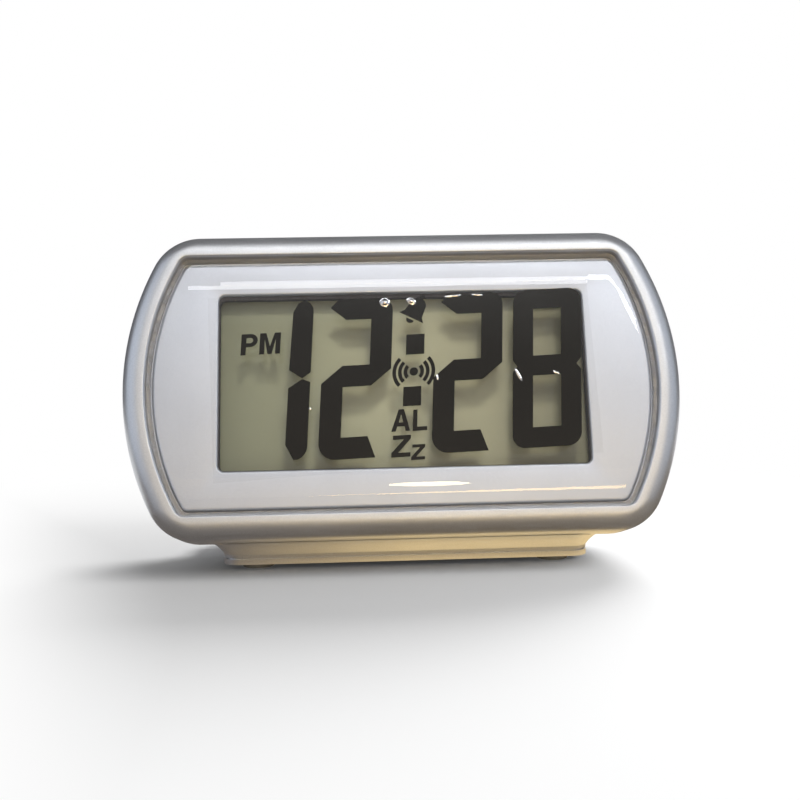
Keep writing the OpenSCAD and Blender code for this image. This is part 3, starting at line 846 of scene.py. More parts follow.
# Dark foam of the window gasket, also painted shade on the window's wall.
GASKET_DARK_AND_SHADE = Moulded(
    "gasket_foam", (0.03, 0.024, 0.022, 1.0), (0.05, 0.041, 0.038, 1.0), 0.7, 2600.0, 0.3
)
SHELL_NODES = ("rear_housing", "snooze_bar", "battery_door", "base_plate")
INNER_FINISHES: dict[Moulded, tuple] = {
    Moulded("black_plastic", (0.014, 0.014, 0.015, 1.0), (0.03, 0.03, 0.032, 1.0)): (
        "lcd_frame", "snooze_switch", "key_switches", "zebra_strip",
    ),
    Moulded("board_laminate", (0.01, 0.07, 0.03, 1.0), (0.02, 0.12, 0.05, 1.0), 0.35, 900.0, 0.1): (
        "main_board", "key_board",
    ),
    Moulded("chip_resin", (0.008, 0.008, 0.008, 1.0), (0.02, 0.02, 0.02, 1.0), 0.3): ("clock_chip",),
    Moulded("bright_steel", (0.5, 0.5, 0.51, 1.0), (0.66, 0.66, 0.67, 1.0), 0.28, 2500.0, 0.1, 1.0): (
        "crystal", "board_screws", "case_screws", "slide_switch", "key_board_screws",
        "battery_springs", "contact_plates", "base_screws",
    ),
    Moulded("key_plastic", (0.045, 0.047, 0.052, 1.0), (0.07, 0.073, 0.08, 1.0), 0.46, 2600.0, 0.25): (
        "time_key", "hour_key", "minute_key", "alarm_key", "alarm_knob",
    ),
    Moulded("ribbon_plastic", (0.3, 0.3, 0.32, 1.0), (0.4, 0.4, 0.42, 1.0)): ("key_ribbon",),
    Moulded("cell_wrap", (0.03, 0.045, 0.07, 1.0), (0.05, 0.07, 0.1, 1.0), 0.25, 1500.0, 0.03): (
        "battery_cells",
    ),
    Moulded("lead_cover", (0.12, 0.012, 0.012, 1.0), (0.18, 0.02, 0.02, 1.0), 0.4): (
        "battery_leads", "buzzer_leads",
    ),
    Moulded("buzzer_brass", (0.48, 0.31, 0.1, 1.0), (0.62, 0.43, 0.16, 1.0), 0.32, 2500.0, 0.1, 1.0): (
        "buzzer_disc",
    ),
    Moulded("foot_rubber", (0.22, 0.22, 0.22, 1.0), (0.3, 0.3, 0.3, 1.0), 0.75, 2000.0, 0.4): (
        "rubber_feet",
    ),
    Moulded("guide_acrylic", (0.6, 0.62, 0.6, 1.0), (0.7, 0.72, 0.7, 1.0), 0.2): (
        "light_guide", "backlight_leds",
    ),
}


@dataclass
class Workshop:
    """What every sub-assembly shares: the measures of the face, the effects and the materials made so far."""

    stance: Stance = Stance()
    outline: FaceOutline = FaceOutline()
    window: Window = Window()
    effects: Effects = field(default_factory=Effects)
    made: dict = field(default_factory=dict)

    def dress(self, piece: Piece, finish: Finish) -> None:
        """Gives a piece a finish, building its material the first time, and reports the piece.

        Args:
            piece: the piece.
            finish: its finish.
        """
        if finish.name not in self.made:
            self.made[finish.name] = finish.material(self.effects)
        piece.data.materials.clear()
        piece.data.materials.append(self.made[finish.name])
        LOG.info("%s: %s, %d points", piece.name, finish.name, len(piece.data.vertices))

    def mount(
        self, piece: Piece, finish: Finish, slot: Slot, replaces: tuple = (), body: str = BODY
    ) -> None:
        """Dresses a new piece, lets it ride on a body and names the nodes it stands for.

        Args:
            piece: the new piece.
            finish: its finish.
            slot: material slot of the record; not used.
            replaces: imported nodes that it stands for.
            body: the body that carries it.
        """
        self.dress(piece, finish)
        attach(piece, body)
        if replaces:
            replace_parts(piece, *replaces)


@dataclass
class Bezel:
    """Rolled rim round the face, with the ledge that carries the lens."""

    shop: Workshop
    deep: float = 12.0
    wall: float = 2.0
    rim: float = 6.1
    roll: float = 4.6
    roll_steps: int = 18
    hollow_steps: int = 10
    lip: float = 0.5
    lip_steps: int = 8
    lip_wall: float = 1.5
    ledge: float = 1.0
    lens_back: float = 3.2
    ledge_back: float = 4.8
    seam_edge: float = 0.25
    groove_full: float = 1.3

    def profile(self) -> np.ndarray:
        """Draws the closed section: wall, roll, crest, lip, ledge and the inner side.

        Returns:
            Array of (inset, depth).
        """
        inner, ledge = self.rim - self.lip_wall, self.rim + self.ledge
        return np.vstack([
            [[self.seam_edge, self.deep], [0.0, self.deep - self.seam_edge]],
            arc((self.roll, self.roll), self.roll, 180, 270, self.roll_steps),
            arc((self.rim - self.lip, self.lip), self.lip, 270, 360, self.lip_steps),
            [[self.rim, self.groove_full], [self.rim, self.lens_back], [ledge, self.lens_back]],
            [[ledge, self.ledge_back], [inner, self.ledge_back], [inner, self.wall]],
            arc((self.roll, self.roll), self.roll - self.wall, 270, 180, self.hollow_steps),
            [[self.wall, self.deep]],
        ])

    def build(self) -> None:
        """Carries the section round the outline and paints shade into its groove, more and more below the
        lip.
        """
        profile = self.profile()
        grid = self.shop.stance.place(self.shop.outline.sweep(profile))
        piece = ring_object("rolled_bezel", grid, closed_profile=True)
        # Painted shade on the wall under the lip and on the ledge, from none at the lip to full at
        # groove_full.
        share = np.clip((profile[:, 1] - self.lip) / (self.groove_full - self.lip), 0, 1)
        share = share * (profile[:, 0] >= self.rim)
        shade_marks = piece.data.attributes.new(GROOVE_SHADE, "FLOAT", "POINT")
        shade_marks.data.foreach_set("value", np.repeat(share, grid.shape[1]).astype(np.float32))
        self.shop.mount(piece, BEZEL_SILVER, Slot.SILVER, ("front_bezel",))


@dataclass
class Lens:
    """Clear lens: flat over the window, then falling ever more steeply to its edge."""

    shop: Workshop
    front: float = 1.2
    back: float = 3.2
    fall: float = 0.95
    edge_inset: float = 6.22
    flat: tuple = (106.0, 44.6, 9.0)
    rings: int = 30
    edge_round: float = 0.25
    turn: float = 2.4

    def steepness(self, flat: np.ndarray) -> np.ndarray:
        """Returns how far points lie on the way from the flat middle to the edge, as one smooth share.

        The shares up the face and across it, each from the flat to the edge, are joined as
        (across^k + up^k)^(1/k), so that the slope turns gently round the corners.

        Args:
            flat: array of (u, v).

        Returns:
            Shares from 0 to 1.
        """
        outline = self.shop.outline
        u, v = np.abs(flat[..., 0]), np.abs(flat[..., 1])
        top = outline.half_h - self.edge_inset - self.edge_round
        side_r = outline.side_r - self.edge_inset - self.edge_round
        side = outline.side_u + np.sqrt(side_r**2 - v**2)
        half_w, half_h = self.flat[0] / 2, self.flat[1] / 2
        across = np.clip((u - half_w) / (side - half_w), 0, 1)
        up = np.clip((v - half_h) / (top - half_h), 0, 1)
        return np.minimum((across**self.turn + up**self.turn) ** (1 / self.turn), 1.0)

    def build(self) -> None:
        """Lofts from the flat middle to the edge: depth = front + fall t^2, t the share of the way."""
        t = np.linspace(0, 1, self.rings)
        inner = rounded_rectangle(*self.flat).line()
        outer = self.shop.outline.loop(self.edge_inset + self.edge_round).line()
        flat = inner[None] + t[:, None, None] * (outer - inner)[None]
        depth = self.front + self.fall * self.steepness(flat) ** 2
        low = self.front + self.fall
        depth[-1] = low
        crown = np.concatenate([flat, depth[..., None]], axis=-1)
        edge = [[self.edge_inset, low + self.edge_round], [self.edge_inset, self.back]]
        brim = self.shop.outline.sweep(np.array(edge))
        under = np.column_stack([inner, np.full(len(inner), self.back)])[None]
        grid = self.shop.stance.place(np.concatenate([crown, brim, under]))
        piece = ring_object("clear_lens", grid, closed_profile=False, sharp=Sharp.MOULDED)
        self.shop.mount(piece, LENS_CLEAR, Slot.LENS, ("lens",))


@dataclass
class Mask:
    """Silver mask behind the lens, with soft edges outside and round the window."""

    shop: Workshop
    front: float = 3.4
    flange_front: float = 4.8
    back: float = 6.2
    outer_inset: float = 7.5
    flange_inset: float = 4.9
    outer_round: float = 0.8
    outer_steps: int = 8
    window_round: float = 0.55
    window_steps: int = 6

    def build(self) -> None:
        """Lofts rings from the flange over the outer edge and the flat front into the window."""
        window, edge, rim = self.shop.window, self.outer_round, self.window_round
        outer = self.shop.outline.sweep(np.vstack([
            [[self.flange_inset, self.back], [self.flange_inset, self.flange_front]],
            [[self.outer_inset, self.flange_front]],
            arc((self.outer_inset + edge, self.front + edge), edge, 180, 270, self.outer_steps),
        ]))
        soft = arc((0.0, self.front + rim), rim, 270, 360, self.window_steps)
        soft[:, 0] -= rim
        inner = rounded_rectangle(*window.size).sweep(np.vstack([soft, [[0.0, self.back]]]))
        inner[..., 1] += window.up
        grid = self.shop.stance.place(np.concatenate([outer, inner]))
        piece = ring_object("window_mask", grid, closed_profile=True)
        self.shop.mount(piece, MASK_SILVER, Slot.SILVER, ("display_mask",))


@dataclass
class Gasket:
    """Dark gasket that lines the window between the mask and the display, its dark also a painted shade on
    the window's wall; wider along the top as a painted shade band.
    """

    shop: Workshop
    front: float = 4.5
    back: float = 6.24
    gap: float = 0.02
    thick: float = 0.22
    soft: float = 0.06
    # How much wider the strip is along the top: a painted shade band under the window's top edge.
    top_shade_band: float = 0.75

    def build(self) -> None:
        """Carries a thin strip with soft edges round the window, its inner side lower along the top to widen
        the painted shade band there.
        """
        window, gap, thick, soft = self.shop.window, self.gap, self.thick, self.soft
        section = np.array([
            [gap, self.back], [gap, self.front + soft], [gap + soft, self.front],
            [thick - soft, self.front], [thick, self.front + soft], [thick, self.back],
        ])
        grid = rounded_rectangle(*window.size).sweep(section)
        share = np.clip((section[:, :1] - gap) / (thick - gap), 0, 1) * (grid[..., 1] > window.size[1] / 4)
        grid[..., 1] += window.up - self.top_shade_band * share
        piece = ring_object("window_gasket", self.shop.stance.place(grid), closed_profile=True)
        self.shop.mount(piece, GASKET_DARK_AND_SHADE, Slot.DARK)


@dataclass
class DisplayPanel:
    """Glass of the display as one plate with its contact ledge, and the ground behind it."""

    shop: Workshop
    size: tuple = (96.4, 52.5)
    ledge: float = 2.6
    front: float = 6.3
    middle: float = 7.4
    back: float = 8.46

    def build(self) -> None:
        """Makes the stepped plate from four rectangles and dresses the ground."""
        up, half_w, half_h = self.shop.window.up, self.size[0] / 2, self.size[1] / 2
        low, step, high = up - half_h, up - half_h + self.ledge, up + half_h
        corner_u = np.array([-half_w, half_w, half_w, -half_w])
        lows = np.array([low, low, step, step])
        depths = np.array([self.front, self.middle, self.middle, self.back])
        grid = np.stack([
            np.broadcast_to(corner_u, (4, 4)),
            np.stack([lows, lows, np.full(4, high), np.full(4, high)], axis=-1),
            np.broadcast_to(depths[:, None], (4, 4)),
        ], axis=-1)
        piece = ring_object("display_panel", self.shop.stance.place(grid), closed_profile=False)
        self.shop.mount(piece, PANEL_CLEAR, Slot.GLASS, ("lcd_front_glass", "lcd_rear_glass"))
        self.shop.dress(bpy.data.objects["lcd_reflector"], GROUND)


# Outlines of the printed letters in the unit square. An outline inside another is a hole.
LETTERS: dict[str, list] = {
    "P": [
        np.vstack([
            [[0, 0], [0, 1]], arc((0.55, 0.69), (0.45, 0.31), 90, -90, 10), [[0.31, 0.38], [0.31, 0]],
        ]),
        np.vstack([[[0.31, 0.57]], arc((0.52, 0.69), (0.2, 0.13), -90, 90, 8), [[0.31, 0.81]]]),
    ],
    "M": [
        [[0, 0], [0, 1], [0.3, 1], [0.5, 0.36], [0.7, 1], [1, 1], [1, 0], [0.76, 0], [0.76, 0.7],
         [0.6, 0], [0.4, 0], [0.24, 0.7], [0.24, 0]],
    ],
    "A": [
        [[0, 0], [0.36, 1], [0.64, 1], [1, 0], [0.76, 0], [0.69, 0.22], [0.31, 0.22], [0.24, 0]],
        [[0.38, 0.4], [0.62, 0.4], [0.5, 0.77]],
    ],
    "L": [[[0, 0], [0, 1], [0.3, 1], [0.3, 0.19], [1, 0.19], [1, 0]]],
    "Z": [
        [[0, 0], [0, 0.2], [0.62, 0.8], [0.06, 0.8], [0.06, 1], [1, 1], [1, 0.82], [0.36, 0.2],
         [1, 0.2], [1, 0]],
    ],
}


def box(x0: float, y0: float, x1: float, y1: float) -> np.ndarray:
    """Returns a rectangle as an outline."""
    return np.array([[x0, y0], [x1, y0], [x1, y1], [x0, y1]])


@dataclass
class PrintedFilm:
    """Clear film on the lens with the printed figures of the display, a little askew.

    Outlines are in millimetres in the film's own frame: x to the right and y up from the window's middle.
    """

    shop: Workshop
    skew_deg: float = 2.2
    slant_deg: float = 5.5
    front: float = 1.08
    back: float = 1.18
    ink_front: float = 1.03
    film: tuple = ((-47.9, -23.7), (47.9, -22.0), (48.3, 23.1), (-47.9, 23.1))
    figure_w: float = 17.3
    low: float = -19.8
    high: float = 20.8
    middle: float = 0.95
    stroke: float = 5.4
    eight_stroke: float = 5.1
    corner: float = 3.4
    corner_steps: int = 8
    letters: tuple = (
        ("P", (-41.0, 7.8), (-36.9, 13.2)), ("M", (-36.4, 7.8), (-31.2, 13.2)),
        ("A", (-2.8, -13.7), (1.9, -8.2)), ("L", (2.5, -13.8), (6.1, -8.5)),
        ("Z", (-2.6, -20.1), (2.1, -14.7)), ("Z", (2.3, -21.0), (5.7, -17.2)),
    )
    colon: tuple = ((0.3, 5.6, 4.9, 10.8), (-0.1, -7.5, 4.4, -2.6))
    wave_middle: tuple = (2.4, 1.2)
    wave_dot: float = 1.05
    wave_radii: tuple = (2.1, 3.5, 4.9)
    wave_half: float = 0.46
    wave_reach: float = 44.0
    wave_steps: int = 14
    dot_points: int = 24
    bell_middle: tuple = (2.6, 17.5)
    bell_scale: float = 1.2
    bell_turn_deg: float = -28.0

    def to_face(self, flat: np.ndarray, slanted: bool) -> np.ndarray:
        """Turns film points into face points: slant x + y tan, turn by the skew, lift to the window.

        Args:
            flat: array of (x, y).
            slanted: whether the figures' slant applies.

        Returns:
            Array of (u, v).
        """
        x, y = flat[:, 0], flat[:, 1]
        if slanted:
            x = x + y * math.tan(math.radians(self.slant_deg))
        c, s = math.cos(math.radians(self.skew_deg)), math.sin(math.radians(self.skew_deg))
        return np.column_stack([x * c - y * s, x * s + y * c + self.shop.window.up])

    def plate(self, name: str, outlines: list, front: float, back: float, slanted: bool = True) -> Piece:
        """Fills closed outlines, holes left open, as one thin plate between two depths.

        Args:
            name: name of the piece.
            outlines: arrays of (x, y); an outline inside another is a hole.
            front: depth of the front side.
            back: depth of the back side.
            slanted: whether the figures' slant applies.

        Returns:
            The piece, not yet dressed.
        """
        curve = bpy.data.curves.new(name, "CURVE")
        curve.dimensions = "2D"
        curve.fill_mode = "BOTH"
        curve.extrude = (back - front) / 2
        for outline in outlines:
            face = self.to_face(np.asarray(outline, float), slanted)
            spline = curve.splines.new("POLY")
            spline.points.add(len(face) - 1)
            full = np.column_stack([face, np.zeros(len(face)), np.ones(len(face))])
            spline.points.foreach_set("co", full.ravel())
            spline.use_cyclic_u = True
        points, faces = curve_mesh(curve)
        points[:, 2] = (front + back) / 2 - points[:, 2]
        return new_object(name, self.shop.stance.place(points), faces, Sharp.MOULDED)

    def eight(self) -> list:
        """Draws an eight: outer line with side notches, and two holes.

        Returns:
            Its outlines.
        """
        w, t, r, mid, steps = self.figure_w, self.eight_stroke, self.corner, self.middle, self.corner_steps
        nick, tall, bar = 1.2, 1.5, self.eight_stroke / 2
        outer = np.vstack([
            arc((r, self.low + r), r, 180, 270, steps), arc((w - r, self.low + r), r, 270, 360, steps),
            [[w, mid - tall], [w - nick, mid], [w, mid + tall]],
            arc((w - r, self.high - r), r, 0, 90, steps), arc((r, self.high - r), r, 90, 180, steps),
            [[0, mid + tall], [nick, mid], [0, mid - tall]],
        ])
        return [outer, box(t, self.low + t, w - t, mid - bar), box(t, mid + bar, w - t, self.high - t)]

    def two(self) -> list:
        """Draws a two in one line, from the tip of its top bar round to its cut lower end.

        Returns:
            Its outline.
        """
        w, t, r, mid = self.figure_w, self.stroke, self.corner, self.middle
        bar, wide = self.stroke / 2, self.corner + 1.0
        return [np.vstack([
            [[1.6, self.high - 2.0], [3.4, self.high]],
            arc((w - r, self.high - r), r, 90, 0, self.corner_steps),
            [[w, mid + 1.4], [w - 4.9, mid - bar], [t, mid - bar], [t, self.low + t]],
            [[w - 5.3, self.low + t], [w - 3.2, self.low]],
            arc((wide, self.low + wide), wide, 270, 180, self.corner_steps),
            [[0, mid - 1.6], [5.1, mid + bar], [w - t, mid + bar], [w - t, self.high - t]],
            [[5.6, self.high - t + 0.1]],
        ])]

    def one(self) -> list:
        """Draws a one as two bars that meet in a point at mid height.

        Returns:
            Its outlines.
        """
        t, mid, tip, steps = self.stroke, self.middle, self.stroke * 0.62, self.corner_steps - 1
        upper = np.vstack([
            arc((t - 3.0, self.high - 2.6), 3.0, 0, 78, steps),
            [[1.5, self.high - 0.3], [0.3, self.high - 2.6]],
            [[0, mid + 2.4], [tip, mid + 0.15], [t, mid + 1.6]],
        ])
        lower = np.vstack([
            [[tip, mid - 0.05], [0, mid - 2.2], [0, self.low + 4.4], [2.2, self.low + 0.6]],
            arc((t - 3.2, self.low + 3.7), 3.2, 285, 360, steps),
            [[t, mid - 0.9]],
        ])
        return [upper, lower]

    def figures(self) -> list:
        """Returns the outlines of the four figures, each moved to its place."""
        places = ((self.one, -28.7), (self.two, -20.6), (self.two, 7.3), (self.eight, 27.3))
        return [outline + [x, 0.0] for draw, x in places for outline in draw()]

    def words(self) -> list:
        """Returns the letters of the half-day, alarm and snooze signs, fitted from corner to corner."""
        fits = ((unit, np.array(a), np.array(b)) for name, a, b in self.letters for unit in LETTERS[name])
        return [np.asarray(unit, float) * (b - a) + a for unit, a, b in fits]

    def bell(self) -> list:
        """Draws the bell, its clapper and its knob, turned about its middle.

        Returns:
            Its outlines.
        """
        dome = arc((0, 0.6), 1.75, 170, 10, 12)
        body = np.vstack([[[-2.9, -2.2], [-2.1, -1.3]], dome, [[2.1, -1.3], [2.9, -2.2]]])
        clapper, knob = arc((0, -2.5), 0.9, 185, 355, 8), arc((0, 2.7), 0.55, -40, 220, 10)
        c, s = math.cos(math.radians(self.bell_turn_deg)), math.sin(math.radians(self.bell_turn_deg))
        turn = np.array([[c, s], [-s, c]])
        return [self.bell_scale * line @ turn + self.bell_middle for line in (body, clapper, knob)]

    def signs(self) -> list:
        """Draws the colon, the sound waves, which are bows round a dot, and the bell.

        Returns:
            Their outlines.
        """
        at, half, reach = self.wave_middle, self.wave_half, self.wave_reach
        bows = [
            np.vstack([
                arc(at, radius + half, middle - reach, middle + reach, self.wave_steps),
                arc(at, radius - half, middle + reach, middle - reach, self.wave_steps),
            ])
            for radius in self.wave_radii for middle in (0, 180)
        ]
        dot = arc(at, self.wave_dot, 0, 360, self.dot_points)[:-1]
        return [*(box(*given) for given in self.colon), dot, *bows, *self.bell()]

    def build(self) -> None:
        """Makes the film, its figures, letters and signs."""
        sheet = self.plate("clear_film", [self.film], self.front, self.back, slanted=False)
        self.shop.mount(sheet, FILM_CLEAR, Slot.PRINT, ("display_film",))
        for name, outlines in (
            ("printed_figures", self.figures()), ("printed_letters", self.words()),
            ("printed_signs", self.signs()),
        ):
            piece = self.plate(name, outlines, self.ink_front, self.front)
            self.shop.mount(piece, PRINT_INK, Slot.PRINT)


@dataclass
class Blisters:
    """Small blisters of trapped air under the clear film, drawn as opaque mirror domes whose painted glints
    stand in for the glint of clear air.

    Each place is u, v, half width, half height, height over the film and turn in degrees.
    """

    shop: Workshop
    foot: float = 1.03
    round_steps: int = 20
    rings: int = 7
    top_ring: float = 0.06
    places: tuple = (
        (-4.3, 20.0, 1.3, 1.15, 0.36, 0.0), (2.4, 20.2, 1.25, 0.8, 0.26, -25.0),
        (-23.4, -7.0, 0.3, 0.3, 0.08, 0.0), (13.0, 21.4, 2.2, 0.22, 0.06, 5.0),
        (19.2, 21.6, 1.5, 0.2, 0.06, -5.0), (8.3, 0.3, 0.28, 0.75, 0.08, 10.0),
        (28.6, 0.6, 0.36, 1.9, 0.1, 27.0), (38.2, 0.9, 0.9, 0.26, 0.08, -28.0),
    )

    def dome(self, u: float, v: float, wide: float, tall: float, high: float, turn: float) -> np.ndarray:
        """Makes one blister: over the reach r from rim to top its height is high (1 - r^2)^2.

        Args:
            u: middle across the face.
            v: middle up the face.
            wide: half width.
            tall: half height.
            high: height over the film.
            turn: turn in degrees.

        Returns:
            Grid of (u, v, depth).
        """
        a = np.linspace(0, 2 * np.pi, self.round_steps, endpoint=False)[None, :]
        r = np.linspace(1.0, self.top_ring, self.rings)[:, None]
        x, y = wide * r * np.cos(a), tall * r * np.sin(a)
        c, s = math.cos(math.radians(turn)), math.sin(math.radians(turn))
        depth = np.broadcast_to(self.foot - high * (1 - r**2) ** 2, x.shape)
        return np.stack([u + x * c - y * s, v + x * s + y * c, depth], axis=-1)

    def build(self) -> None:
        """Joins the blisters, each closed above and below, into one piece."""
        rings, cols, faces = self.rings, self.round_steps, []
        for start in range(0, len(self.places) * rings * cols, rings * cols):
            top = start + (rings - 1) * cols
            faces += (grid_faces(rings, cols, False) + start).tolist()
            faces += [list(range(start, start + cols)), list(range(top, top + cols))]
        grids = np.concatenate([self.dome(*given) for given in self.places])
        points = self.shop.stance.place(grids.reshape(-1, 3))
        piece = new_object("film_blisters", points, faces, Sharp.MOULDED)
        self.shop.mount(piece, BLISTER_GLINT, Slot.PRINT)


@dataclass
class BackPrint:
    """Printed signs under the keys and beside the switch, and an arrow on the battery door.

    Each sign is its word, u, v and letter size.
    """

    shop: Workshop
    depth: float = 38.0
    ink: float = 0.05
    curve_steps: int = 4
    signs: tuple = (
        ("TIME", -44.0, 10.2, 3.4), ("HOUR", -18.0, 10.2, 3.4), ("MIN", 18.0, 10.2, 3.4),
        ("ALARM", 42.4, 10.2, 3.4), ("OFF", -9.6, 17.0, 3.0), ("ON", 9.6, 17.0, 3.0),
    )
    arrow: tuple = ((-2.4, -7.6), (2.4, -7.6), (0.0, -10.8))

    def sign(self, words: str, u: float, v: float, size: float) -> tuple[np.ndarray, list]:
        """Makes one word as a thin plate: x runs against u, since it is read from behind.

        Args:
            words: the word.
            u: its middle across the face.
            v: its middle up the face.
            size: letter size in millimetres.

        Returns:
            Points (u, v, depth) and faces.
        """
        curve = bpy.data.curves.new("sign", "FONT")
        curve.body, curve.size = words, size
        curve.align_x, curve.align_y = "CENTER", "CENTER"
        curve.extrude = self.ink / 2
        curve.resolution_u = self.curve_steps
        points, faces = curve_mesh(curve)
        return points * [-1, 1, 1] + [u, v, self.depth + self.ink / 2], faces

    def build(self) -> None:
        """Joins the signs into one piece and lays the arrow on the door."""
        made = [self.sign(*given) for given in self.signs]
        starts = np.cumsum([0] + [len(points) for points, _ in made])
        faces = [[int(start) + i for i in face] for start, (_, own) in zip(starts, made) for face in own]
        points = self.shop.stance.place(np.concatenate([points for points, _ in made]))
        self.shop.mount(new_object("back_signs", points, faces, Sharp.MOULDED), PRINT_INK, Slot.PRINT)
        flat = np.array(self.arrow)
        ends = [np.column_stack([flat, np.full(3, d)]) for d in (self.depth, self.depth + 2 * self.ink)]
        grid = self.shop.stance.place(np.stack(ends))
        piece = ring_object("door_arrow", grid, closed_profile=False, sharp=Sharp.MOULDED)
        self.shop.mount(piece, PRINT_INK, Slot.PRINT, body=DOOR_BODY)


@dataclass
class Shell:
    """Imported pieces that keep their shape, and the base, which gets a smooth copy."""

    shop: Workshop

    def build(self) -> None:
        """Dresses the silver pieces, inner pieces, keys and feet, and stands in the copy of the base."""
        for finish, nodes in {SILVER: SHELL_NODES, **INNER_FINISHES}.items():
            for node in nodes:
                self.shop.dress(bpy.data.objects[node], finish)
        base = merged_copy("base_shell", "flared_base", Sharp.SOFT)
        self.shop.mount(base, SILVER, Slot.SILVER)


@dataclass(frozen=True)
class Lamp:
    """Area lamp, in metres and watts, whose width runs along a given line made square to its aim."""

    name: str
    place: tuple
    size: tuple
    watts: float
    colour: tuple = (1.0, 1.0, 1.0)
    along: tuple = (1.0, 0.0, 0.0)
    aim: tuple = (0.0, -0.01, 0.05)
    shape: LampShape = LampShape.PANEL
    mirrored: bool = True
    floor: FloorLight = FloorLight.SPARED

    def build(self) -> Piece:
        """Adds the lamp to the scene.

        Returns:
            The lamp.
        """
        data = bpy.data.lights.new(self.name, "AREA")
        data.shape = self.shape.value
        data.size, data.size_y = self.size
        data.energy = self.watts
        data.color = self.colour
        made = bpy.data.objects.new(self.name, data)
        back = (Vector(self.place) - Vector(self.aim)).normalized()
        wide = (Vector(self.along) - back * Vector(self.along).dot(back)).normalized()
        axes = Matrix((wide, back.cross(wide), back)).transposed().to_4x4()
        axes.translation = Vector(self.place)
        made.matrix_world = axes
        made.visible_glossy = self.mirrored
        bpy.context.scene.collection.objects.link(made)
        return made


@dataclass(frozen=True)
class Card:
    """Card that only shows in reflections, in metres, and not by way of a matt surface."""

    name: str
    corners: tuple
    tint: CardTint
    strength: float = 1.0
    left: CardTint | None = None
    fade: tuple = (-0.05, 0.0)

    @classmethod
    def across(cls, name: str, sides: tuple, front: tuple, back: tuple, *looks: object) -> Card:
        """Returns a card from side to side, between a front and a back edge given as (y, z)."""
        left, right = sides
        return cls(name, ((left, *front), (right, *front), (right, *back), (left, *back)), *looks)

    @classmethod
    def beside(cls, name: str, x: float, ends: tuple, height: float, tint: CardTint) -> Card:
        """Returns an upright card beside the clock, from one y to another."""
        near, far = ends
        return cls(name, ((x, near, 0.0), (x, far, 0.0), (x, far, height), (x, near, height)), tint)

    def build(self) -> None:
        """Adds the card to the scene, its left end faded to another tint where it has one."""
        made = new_object(self.name, np.array(self.corners, float), [[0, 1, 2, 3]], Sharp.CUT)
        material, nodes = new_material(self.name)
        shown = self.tint.value
        if self.left:
            shown = nodes.blend(nodes.span(nodes.across(), source=self.fade), self.left.value, shown)
        direct = nodes.math("LESS_THAN", nodes.add("LightPath").outputs["Diffuse Depth"], 0.5)
        level = nodes.math("MULTIPLY", direct, self.strength)
        nodes.surface(nodes.add("Emission", {"Color": shown, "Strength": level}))
        made.data.materials.append(material)
        made.visible_camera = made.visible_diffuse = made.visible_shadow = made.visible_transmission = False


GROUND_POINT = (0.0, 0.0, 0.0)
LAMPS = (
    Lamp("key", (0.06, -0.42, 0.62), (0.13, 0.1), 2.2, (1.0, 0.99, 0.97), mirrored=False),
    Lamp("tube_low", (-0.005, -0.563, 0.533), (0.44, 0.034), 0.28),
    Lamp("tube_high", (0.034, -0.563, 0.574), (0.362, 0.034), 0.23),
    Lamp("tube_edge", (0.0, -0.435, 0.668), (0.62, 0.016), 0.2),
    Lamp("tube_side", (0.322, -0.51, 0.489), (0.262, 0.04), 0.355, along=(0.226, 0.034, -0.127)),
    Lamp(
        "warm_glint", (0.055, -0.724, 0.205), (0.08, 0.032), 0.12, (1.0, 0.84, 0.52), shape=LampShape.OVAL
    ),
    Lamp("table_glint", (0.12, -0.8, 0.144), (0.44, 0.034), 0.5, (1.0, 0.68, 0.26), (0.38, 0.0, 0.024)),
    Lamp("top", (0.42, 0.5, 0.74), (0.8, 0.8), 16.0, aim=(-0.02, 0.0, 0.0), mirrored=False),
    Lamp(
        "floor_back", (0.5, 0.6, 0.66), (0.45, 0.45), 9.4, aim=GROUND_POINT, mirrored=False,
        floor=FloorLight.ALONE,
    ),
    Lamp(
        "floor_side", (0.62, -0.28, 0.42), (0.4, 0.4), 4.4, aim=GROUND_POINT, mirrored=False,
        floor=FloorLight.ALONE,
    ),
)
ROOM_SIDES = (-0.6, 0.6)
NEAR_FLOOR = 0.0004
CARDS = (
    Card.across("flag_top", (-0.9, 0.9), (-0.3, 0.8), (0.9, 0.1), CardTint.DARK),
    Card.beside("flag_left", -0.6, (0.04, 2.0), 0.6, CardTint.DARK),
    Card.beside("wall_left", -0.6, (-0.9, 0.04), 0.8, CardTint.LEFT_BLUE),
    Card.beside("flag_right", 0.6, (0.04, 2.0), 0.6, CardTint.DARK),
    Card.beside("wall_right", 0.6, (-0.9, 0.04), 0.8, CardTint.RIGHT_BLUE),
    Card.across("crest", ROOM_SIDES, (-0.9, 0.63), (-0.42, 0.78), CardTint.BRIGHT, 0.42),
    Card.across("room_front", ROOM_SIDES, (-0.9, 0.36), (-0.9, 0.63), CardTint.ROOM),
    Card.across("front_low", ROOM_SIDES, (-0.9, 0.16), (-0.9, 0.36), CardTint.PALE, 0.82),
    Card.across("wood_front", ROOM_SIDES, (-0.45, 0.0), (-0.45, 0.09), CardTint.BROWN, 1.6),
    Card.across(
        "table_dark", ROOM_SIDES, (-0.45, NEAR_FLOOR), (-0.021, NEAR_FLOOR),
        CardTint.BROWN, 1.0, CardTint.SHADE,
    ),
    Card.across(
        "table_near", (-0.25, 0.058), (-0.021, NEAR_FLOOR), (0.004, NEAR_FLOOR),
        CardTint.GOLD, 1.35, CardTint.SHADE,
    ),
    Card.across(
        "table_end", (0.058, 0.6), (-0.021, NEAR_FLOOR), (0.06, NEAR_FLOOR),
        CardTint.BROWN, 1.0, CardTint.SHADE,
    ),
)


